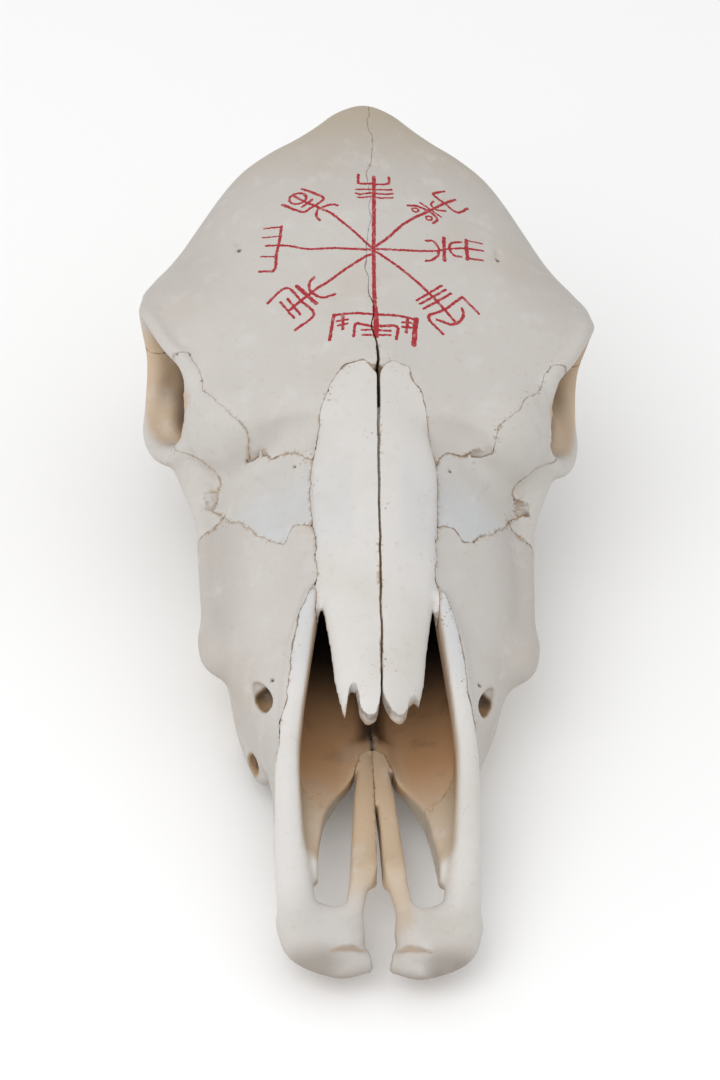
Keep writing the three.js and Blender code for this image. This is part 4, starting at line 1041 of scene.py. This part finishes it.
# The painted stave: width and plan places of each stroke.
STROKES = [
    (1.1, [
        (0.5, 353.2), (-2.9, 357.5), (-10.9, 367.3), (-19.3, 377.1), (-24.7, 381.3), (-28.9, 384.6),
        (-33.6, 388.1), (-38.6, 392.6),
    ]),
    (1.2, [
        (-34.3, 396.6), (-28.8, 392.9), (-23.4, 388.3), (-27.8, 384.4), (-30.5, 382.8), (-33.7, 380.7),
        (-38.3, 383.4), (-44.5, 388.4),
    ]),
    (1, [
        (-32.3, 390.9), (-33.2, 388.3), (-36.2, 387), (-39.4, 387.9), (-41.1, 390.4), (-40.2, 393),
        (-37.2, 394.2), (-33.9, 393.3), (-32.3, 390.9),
    ]),
    (1, [(-29.3, 388.5), (-34.6, 384.4)]),
    (1.1, [(-16.6, 382.7), (-19.6, 383.7), (-25.1, 382.1), (-26.8, 380.6), (-27.5, 377), (-25.8, 373.5)]),
    (1.1, [
        (-0.7, 352.4), (-12.4, 353.2), (-20.1, 354.1), (-30.2, 354.4), (-35.6, 355.8), (-39.4, 357.5),
        (-46, 359.5), (-53.3, 360.6),
    ]),
    (1.2, [
        (-45.3, 373.1), (-45.9, 366.5), (-46.8, 359.9), (-48, 353.4), (-48.2, 349.5), (-48.5, 344.8),
        (-49.6, 341.5),
    ]),
    (0.8, [(-54, 373.9), (-45.3, 372.8)]),
    (0.7, [(-54.8, 367.2), (-45.9, 366.2)]),
    (0.9, [(-55.5, 353), (-48.4, 351.7)]),
    (1.1, [(-56.6, 342.3), (-49.6, 341.5)]),
    (1.7, [(2.8, 401.7), (2.2, 379), (1.4, 354.7), (1.1, 339.2), (0.9, 324.5), (1, 314.9)]),
    (2.5, [(1, 314.9), (1.1, 309.2), (1.3, 305.5), (0.8, 296.9)]),
    (1.2, [(-5.3, 402.9), (-5.6, 398.3), (-4.7, 396.8), (1.7, 396.8)]),
    (1.1, [(3.4, 396.5), (10.2, 398), (10.7, 402.4)]),
    (0.8, [(-6.8, 392.7), (1.6, 392.9), (6.2, 393.1), (11.9, 394.1)]),
    (0.9, [(-6.8, 390.2), (-4.5, 389.4), (1.5, 390.5), (6.2, 390.2), (12.3, 391.3)]),
    (0.7, [(-6.1, 387.5), (-3.7, 387.2), (1.4, 387.8), (6.1, 387.5), (12.4, 388.7)]),
    (1.2, [
        (2.3, 354.7), (9.5, 361.8), (16.8, 371.1), (24.2, 378.2), (31.2, 384), (40.1, 392.3),
        (45.9, 396.9),
    ]),
    (1.2, [(40.1, 400.5), (34.1, 396.5), (40.1, 392.3), (46.6, 388.4), (52.5, 393.6)]),
    (1.1, [(20, 385), (24.9, 385.8), (31.2, 384), (34.5, 381.7), (35.5, 379.2), (33.2, 376.3)]),
    (0.9, [(34.1, 391.7), (32.7, 389.3), (33.9, 387), (36.9, 386.3), (40.5, 387.2)]),
    (0.7, [(26.7, 388.7), (37.7, 382.1)]),
    (0.8, [
        (25.7, 382.9), (24.6, 381.7), (22.9, 381.8), (22.2, 383), (23.3, 384), (25.1, 384),
        (25.7, 382.9),
    ]),
    (0.8, [
        (33, 379.3), (31.9, 378.1), (30.1, 378), (29.5, 379.2), (30.6, 380.5), (32.3, 380.5),
        (33, 379.3),
    ]),
    (1.1, [
        (3, 353), (13.3, 353.7), (23.7, 354.9), (34.2, 357.2), (41.1, 360.4), (49.3, 363.2), (59, 365.1),
    ]),
    (1.1, [
        (28.8, 362.8), (32.4, 363.6), (35, 360.4), (35.5, 357.2), (34, 353), (31, 350.1), (28.2, 349),
    ]),
    (1.7, [(38.5, 367.6), (38, 353.3), (38.1, 351.3)]),
    (1.1, [(47.6, 367.4), (43, 365.3), (41.2, 362.1), (41.4, 358.8), (43.8, 356), (47, 356.6)]),
    (1.7, [(50.5, 370), (50.3, 362.6), (50.4, 356.8), (50, 355.1)]),
    (0.8, [(50.5, 369.7), (58.9, 370.7)]),
    (1.2, [(50.3, 356.1), (58.4, 357.4)]),
    (1.2, [
        (0.4, 349.7), (-3.9, 347.2), (-12.6, 340.5), (-20.4, 334), (-30.1, 327), (-35.9, 321.8),
        (-41.7, 316.6),
    ]),
    (1.2, [(-29.1, 335.9), (-31.4, 332.7), (-31.7, 329.9), (-30.5, 326.5), (-25.2, 323), (-18.8, 324.6)]),
    (1.9, [(-38, 330.8), (-32.8, 324.9), (-28.3, 319.5)]),
    (1.1, [(-52.6, 321.9), (-43.2, 330.3), (-35.9, 321.8), (-29.5, 312.8), (-38.9, 304.7)]),
    (1, [(-42.6, 323.5), (-36.4, 313.7)]),
    (1, [(-46.1, 321.8), (-39.6, 311.9)]),
    (1.2, [(3, 350.9), (13, 343.3), (24.9, 332.8), (32.8, 324.2), (36.7, 319.6), (41.4, 313.7)]),
    (1, [(35.7, 334.2), (22.4, 323)]),
    (1, [(37.8, 332.1), (24.1, 321.1)]),
    (1, [(40.4, 330.1), (25.7, 318.2)]),
    (1.1, [(54.3, 320.6), (47, 328.1), (44.9, 327.7), (36.7, 319.6), (28, 313.5), (35.2, 305)]),
    (1.3, [(32.6, 312.7), (39.7, 311.3), (43.9, 313.7), (46.3, 317.9), (45.7, 321.8)]),
    (1.2, [
        (-19.6, 311.2), (-13.1, 311.2), (-7.4, 311.1), (-0.9, 310.4), (2, 310.3), (12.1, 310.9),
        (21.8, 310.6),
    ]),
    (1.4, [(-19.6, 311.2), (-20.6, 305.1), (-21.9, 297.1)]),
    (2.4, [(21.8, 310.6), (21, 305), (20.1, 295.6)]),
    (1.3, [(-15.2, 310.3), (-15.4, 302.2)]),
    (0.9, [(-18.3, 307.2), (-13, 307.6)]),
    (0.9, [(-17.8, 304.5), (-13, 305)]),
    (1.3, [(17.3, 309.8), (16.4, 301.7)]),
    (1, [(14.6, 307.4), (19.3, 307.9)]),
    (1, [(14.5, 304.5), (19.2, 305.1)]),
    (1.2, [(-10.1, 297.1), (-9, 304.3), (-5.6, 304), (-1, 302.9)]),
    (1.3, [(3.2, 303.2), (11.9, 304), (11.1, 296.4)]),
    (0.9, [(-6, 300.7), (-0.7, 300.7)]),
    (0.9, [(-5.9, 297.5), (-1.2, 297.5)]),
    (0.9, [(1.7, 300.5), (8.4, 301)]),
    (0.9, [(1.7, 297.7), (8.3, 298.2)]),
]


UNPAINTED = 3.0  # distance to the paint where there is none near
SPREAD = 0.17  # how far the paint runs beyond the stroke


def paint_distance(x, y):
    """How far each plan place is outside the paint."""
    best = np.full(x.shape, UNPAINTED)
    for width, places in STROKES:
        s = spline(places, 4) if len(places) > 2 else np.array(places)
        for (ax, ay), (bx, by) in zip(s[:-1], s[1:]):
            dx, dy = bx - ax, by - ay
            t = np.clip(((x - ax) * dx + (y - ay) * dy) / (dx * dx + dy * dy + 1e-9), 0, 1)
            best = np.minimum(best, np.hypot(x - ax - t * dx, y - ay - t * dy) - width / 2 - SPREAD)
    return best


STAVE_LOW = (-62, 292, 130)
STAVE_HIGH = (62, 406, FAR)


def in_stave(p):
    return ((p > STAVE_LOW) & (p < STAVE_HIGH)).all(1)


def fine_quads(points, quads):
    """Split the quads under the stave into nine each, so that the paint keeps its edges."""
    mesh = bpy.data.meshes.new("split")
    mesh.from_pydata(points.tolist(), [], quads.tolist())
    work = bmesh.new()
    work.from_mesh(mesh)
    bpy.data.meshes.remove(mesh)
    chosen = in_stave(points)
    edges = [e for e in work.edges if chosen[e.verts[0].index] and chosen[e.verts[1].index]]
    bmesh.ops.subdivide_edges(work, edges=edges, cuts=2, use_grid_fill=True)
    return work


def vertex_values(mesh, key):
    flat = np.empty(len(mesh.vertices) * 3, np.float32)
    mesh.vertices.foreach_get(key, flat)
    return flat.reshape(-1, 3)


def piece(name, points, quads, edge):
    """Object of one bone, with what its material needs as attributes of the mesh."""
    mesh = bpy.data.meshes.new(name)
    painted = name.startswith("frontal")
    if painted:
        work = fine_quads(points, quads)
        work.to_mesh(mesh)
        work.free()
        points = vertex_values(mesh, "co").astype(float)
        edge = sample(*edge_grids[name], points)
    else:
        mesh.vertices.add(len(points))
        mesh.loops.add(quads.size)
        mesh.polygons.add(len(quads))
        mesh.loops.foreach_set("vertex_index", quads.astype(np.int32).ravel())
        mesh.polygons.foreach_set("loop_start", np.arange(0, quads.size, 4, dtype=np.int32))
    mesh.vertices.foreach_set("co", ((points + SHIFT) / 1000).astype(np.float32).ravel())
    mesh.update(calc_edges=not painted)
    mesh.shade_smooth()
    mesh.set_sharp_from_angle(angle=math.radians(55))
    c = colours(name, points, vertex_values(mesh, "normal"))
    values = {"seam": np.clip(edge, -6, 1), "stain": seam_stain(name, points)}
    # How pale the colour is, painted shade included.
    values["pale_tint"] = ramp(c.mean(1), 0.24, 0.42)
    if painted:
        near = in_stave(points)
        values["paint"] = np.full(len(points), UNPAINTED)
        values["paint"][near] = paint_distance(points[near, 0], points[near, 1])
    mesh.attributes.new("tint", "FLOAT_COLOR", "POINT").data.foreach_set(
        "color", np.column_stack([c, np.ones(len(c))]).astype(np.float32).ravel()
    )
    for key, value in values.items():
        mesh.attributes.new(key, "FLOAT", "POINT").data.foreach_set("value", value.astype(np.float32))
    made = bpy.data.objects.new(name, mesh)
    bpy.context.collection.objects.link(made)
    return made


# The row's frame: the CAD box and the box of the bones share a centre in x and y.
every = np.concatenate([b[0] for b in bones.values()])
middle = (every.min(0) + every.max(0)) / 2
SHIFT = np.array([1000 * (cad_low[i] + cad_high[i]) / 2 - middle[i] for i in range(2)] + [0.0])


class Shading:
    """Builds the node material of one bone."""

    def __init__(self, name):
        self.material = bpy.data.materials.new(name)
        self.material.use_nodes = True
        self.nodes = self.material.node_tree.nodes
        self.links = self.material.node_tree.links
        self.shader = self.nodes["Principled BSDF"]
        self.place = self.nodes.new("ShaderNodeTexCoord").outputs["Object"]

    def attribute(self, name, output="Fac"):
        node = self.nodes.new("ShaderNodeAttribute")
        node.attribute_name = name
        return node.outputs[output]

    def noise(self, scale, detail=4.0, rough=0.55):
        node = self.nodes.new("ShaderNodeTexNoise")
        node.inputs["Scale"].default_value = scale
        node.inputs["Detail"].default_value = detail
        node.inputs["Roughness"].default_value = rough
        self.links.new(self.place, node.inputs["Vector"])
        return node.outputs["Fac"]

    def cells(self, scale):
        node = self.nodes.new("ShaderNodeTexVoronoi")
        node.inputs["Scale"].default_value = scale
        self.links.new(self.place, node.inputs["Vector"])
        return node.outputs["Distance"]

    def step(self, value, low, high, to_low=0.0, to_high=1.0):
        node = self.nodes.new("ShaderNodeMapRange")
        node.interpolation_type = "SMOOTHSTEP"
        for key, number in (("From Min", low), ("From Max", high), ("To Min", to_low), ("To Max", to_high)):
            node.inputs[key].default_value = number
        self.links.new(value, node.inputs["Value"])
        return node.outputs["Result"]

    def maths(self, how, a, b):
        node = self.nodes.new("ShaderNodeMath")
        node.operation = how
        for value, socket in ((a, node.inputs[0]), (b, node.inputs[1])):
            if isinstance(value, (int, float)):
                socket.default_value = value
            else:
                self.links.new(value, socket)
        return node.outputs[0]

    def times(self, a, b):
        return self.maths("MULTIPLY", a, b)

    def over(self, base, colour, factor):
        node = self.nodes.new("ShaderNodeMix")
        node.data_type = "RGBA"
        node.inputs["B"].default_value = (*colour, 1)
        self.links.new(base, node.inputs["A"])
        self.links.new(factor, node.inputs["Factor"])
        return node.outputs["Result"]


BUMP_STRENGTH = 0.5
BUMP_DEPTH = 0.0006  # in metres, as the object's own coordinates


def bone_material(name, family):
    m = Shading(name)
    colour = m.attribute("tint", "Color")
    cloud = m.noise(18, 5)
    grain = m.noise(260, 5, 0.65)
    streak = m.noise(75, 6, 0.6)
    pale_tint = m.attribute("pale_tint")
    colour = m.over(colour, CREAM, m.times(pale_tint, m.step(cloud, 0.48, 0.72, 0, 0.22)))
    colour = m.over(colour, PALE, m.times(pale_tint, m.step(streak, 0.5, 0.75, 0, 0.35)))
    colour = m.over(colour, CREAM, m.times(pale_tint, m.step(grain, 0.55, 0.8, 0, 0.35)))
    colour = m.over(colour, BROWN, m.times(m.step(pale_tint, 0, 1, 1, 0), m.step(streak, 0.5, 0.8, 0, 0.4)))
    # Small rusty spots.
    spots = m.step(m.cells(55), 0.035, 0.07, 1, 0)
    rusty = (0.5, 0.58) if family == "nasal" else (0.55, 0.62)
    colour = m.over(colour, STRAW, m.times(spots, m.step(m.noise(9, 2), *rusty, 0, 0.7)))
    # Pores beside the seams.
    seam = m.attribute("seam")
    pores = m.step(m.cells(430), 0.12, 0.3, 1, 0)
    pores = m.times(pores, m.step(m.noise(60, 3), 0.52, 0.66))
    porous = m.times(pores, m.step(seam, -6, -1.5, 0.12, 0.8))
    colour = m.over(colour, PORE, porous)
    # Seams: a thin brown line that comes and goes.
    wander = m.step(m.noise(340, 3), 0.3, 0.7, -0.3, 0.3)
    line_dark = m.step(m.maths("ADD", seam, wander), -0.55, 0.0)
    line_dark = m.times(line_dark, m.step(m.noise(48, 3), 0.4, 0.6, 0.2, 1))
    line_dark = m.times(line_dark, m.attribute("stain"))
    colour = m.over(colour, RUST, line_dark)
    colour = m.over(colour, BROWN, m.times(line_dark, m.step(m.noise(90, 3), 0.54, 0.68)))
    if family == "frontal":
        paint = m.maths("ADD", m.attribute("paint"), m.step(m.noise(700, 3), 0.3, 0.7, -0.22, 0.22))
        cover = m.step(paint, -0.12, 0.14, 1, 0)
        cover = m.times(cover, m.step(m.noise(420, 4), 0.3, 0.5, 0.72, 1))
        colour = m.over(colour, PAINT, cover)
    m.links.new(colour, m.shader.inputs["Base Color"])
    m.links.new(m.step(streak, 0.3, 0.7, 0.5, 0.68), m.shader.inputs["Roughness"])
    height = m.maths("ADD", m.times(grain, 0.5), m.times(streak, 1.2))
    height = m.maths("SUBTRACT", height, m.times(porous, 0.8))
    bump = m.nodes.new("ShaderNodeBump")
    bump.inputs["Strength"].default_value = BUMP_STRENGTH
    bump.inputs["Distance"].default_value = BUMP_DEPTH
    m.links.new(height, bump.inputs["Height"])
    m.links.new(bump.outputs["Normal"], m.shader.inputs["Normal"])
    return m.material


for name, (points, quads, edge) in bones.items():
    points[:, 2] = np.maximum(points[:, 2], 0)
    made = piece(f"{name}_bone", points, quads, edge)
    family = name.split("_")[0]
    made.data.materials.append(bone_material(f"{name}_bone", family))
    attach(made, "root")
    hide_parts(name)


# Floor, light and camera.
FLOOR_HALF = 3
FLOOR_COLOUR = (0.95, 0.95, 0.95, 1)
FLOOR_ROUGHNESS = 0.9
SKY_COLOUR = (1, 1, 1, 1)
SKY_STRENGTH = 0.85

floor = bpy.data.meshes.new("floor")
corners = [(a * FLOOR_HALF, b * FLOOR_HALF, 0) for a, b in ((-1, -1), (1, -1), (1, 1), (-1, 1))]
floor.from_pydata(corners, [], [(0, 1, 2, 3)])
ground = bpy.data.objects.new("floor", floor)
bpy.context.collection.objects.link(ground)
paper = bpy.data.materials.new("paper")
paper.use_nodes = True
paper.node_tree.nodes["Principled BSDF"].inputs["Base Color"].default_value = FLOOR_COLOUR
paper.node_tree.nodes["Principled BSDF"].inputs["Roughness"].default_value = FLOOR_ROUGHNESS
floor.materials.append(paper)

world = bpy.data.worlds.new("studio")
bpy.context.scene.world = world
world.use_nodes = True
world.node_tree.nodes["Background"].inputs["Color"].default_value = SKY_COLOUR
world.node_tree.nodes["Background"].inputs["Strength"].default_value = SKY_STRENGTH


def lamp(name, place, aim, size, power):
    data = bpy.data.lights.new(name, "AREA")
    data.shape = "DISK"
    data.size = size
    data.energy = power
    made = bpy.data.objects.new(name, data)
    made.location = place
    made.rotation_euler = (Vector(aim) - Vector(place)).to_track_quat("-Z", "Y").to_euler()
    bpy.context.collection.objects.link(made)


lamp("key", place=(-0.8, -0.9, 1.5), aim=(0, 0, 0.08), size=1.8, power=13)
bpy.context.scene.view_settings.view_transform = "Standard"

# Camera at the photograph's place.
ELEVATION, AZIMUTH, ROLL = map(math.radians, (40.76, -6.175, 5.694))
DISTANCE = 1.28834
FOCAL_PIXELS = 2619.12
PICTURE_HEIGHT = 1080
SENSOR = 36
AIM = (0, 225, 90)  # in skull coordinates
AIM_LEFT, AIM_DOWN = 4.66, 7.89  # from there in the picture's plane
back = Vector((
    math.sin(AZIMUTH) * math.cos(ELEVATION), -math.cos(AZIMUTH) * math.cos(ELEVATION), math.sin(ELEVATION),
))
level = (-back).cross(Vector((0, 0, 1))).normalized()
rise = level.cross(-back)
right = level * math.cos(ROLL) + rise * math.sin(ROLL)
up = rise * math.cos(ROLL) - level * math.sin(ROLL)
target = (Vector(AIM) + Vector(SHIFT) - AIM_LEFT * level - AIM_DOWN * rise) / 1000
lens = bpy.data.cameras.new("camera")
lens.sensor_width = SENSOR
lens.lens = SENSOR * FOCAL_PIXELS / PICTURE_HEIGHT
camera = bpy.data.objects.new("camera", lens)
bpy.context.collection.objects.link(camera)
placed = Matrix((right, up, back)).transposed().to_4x4()
placed.translation = target + back * DISTANCE
camera.matrix_world = placed
bpy.context.scene.camera = camera
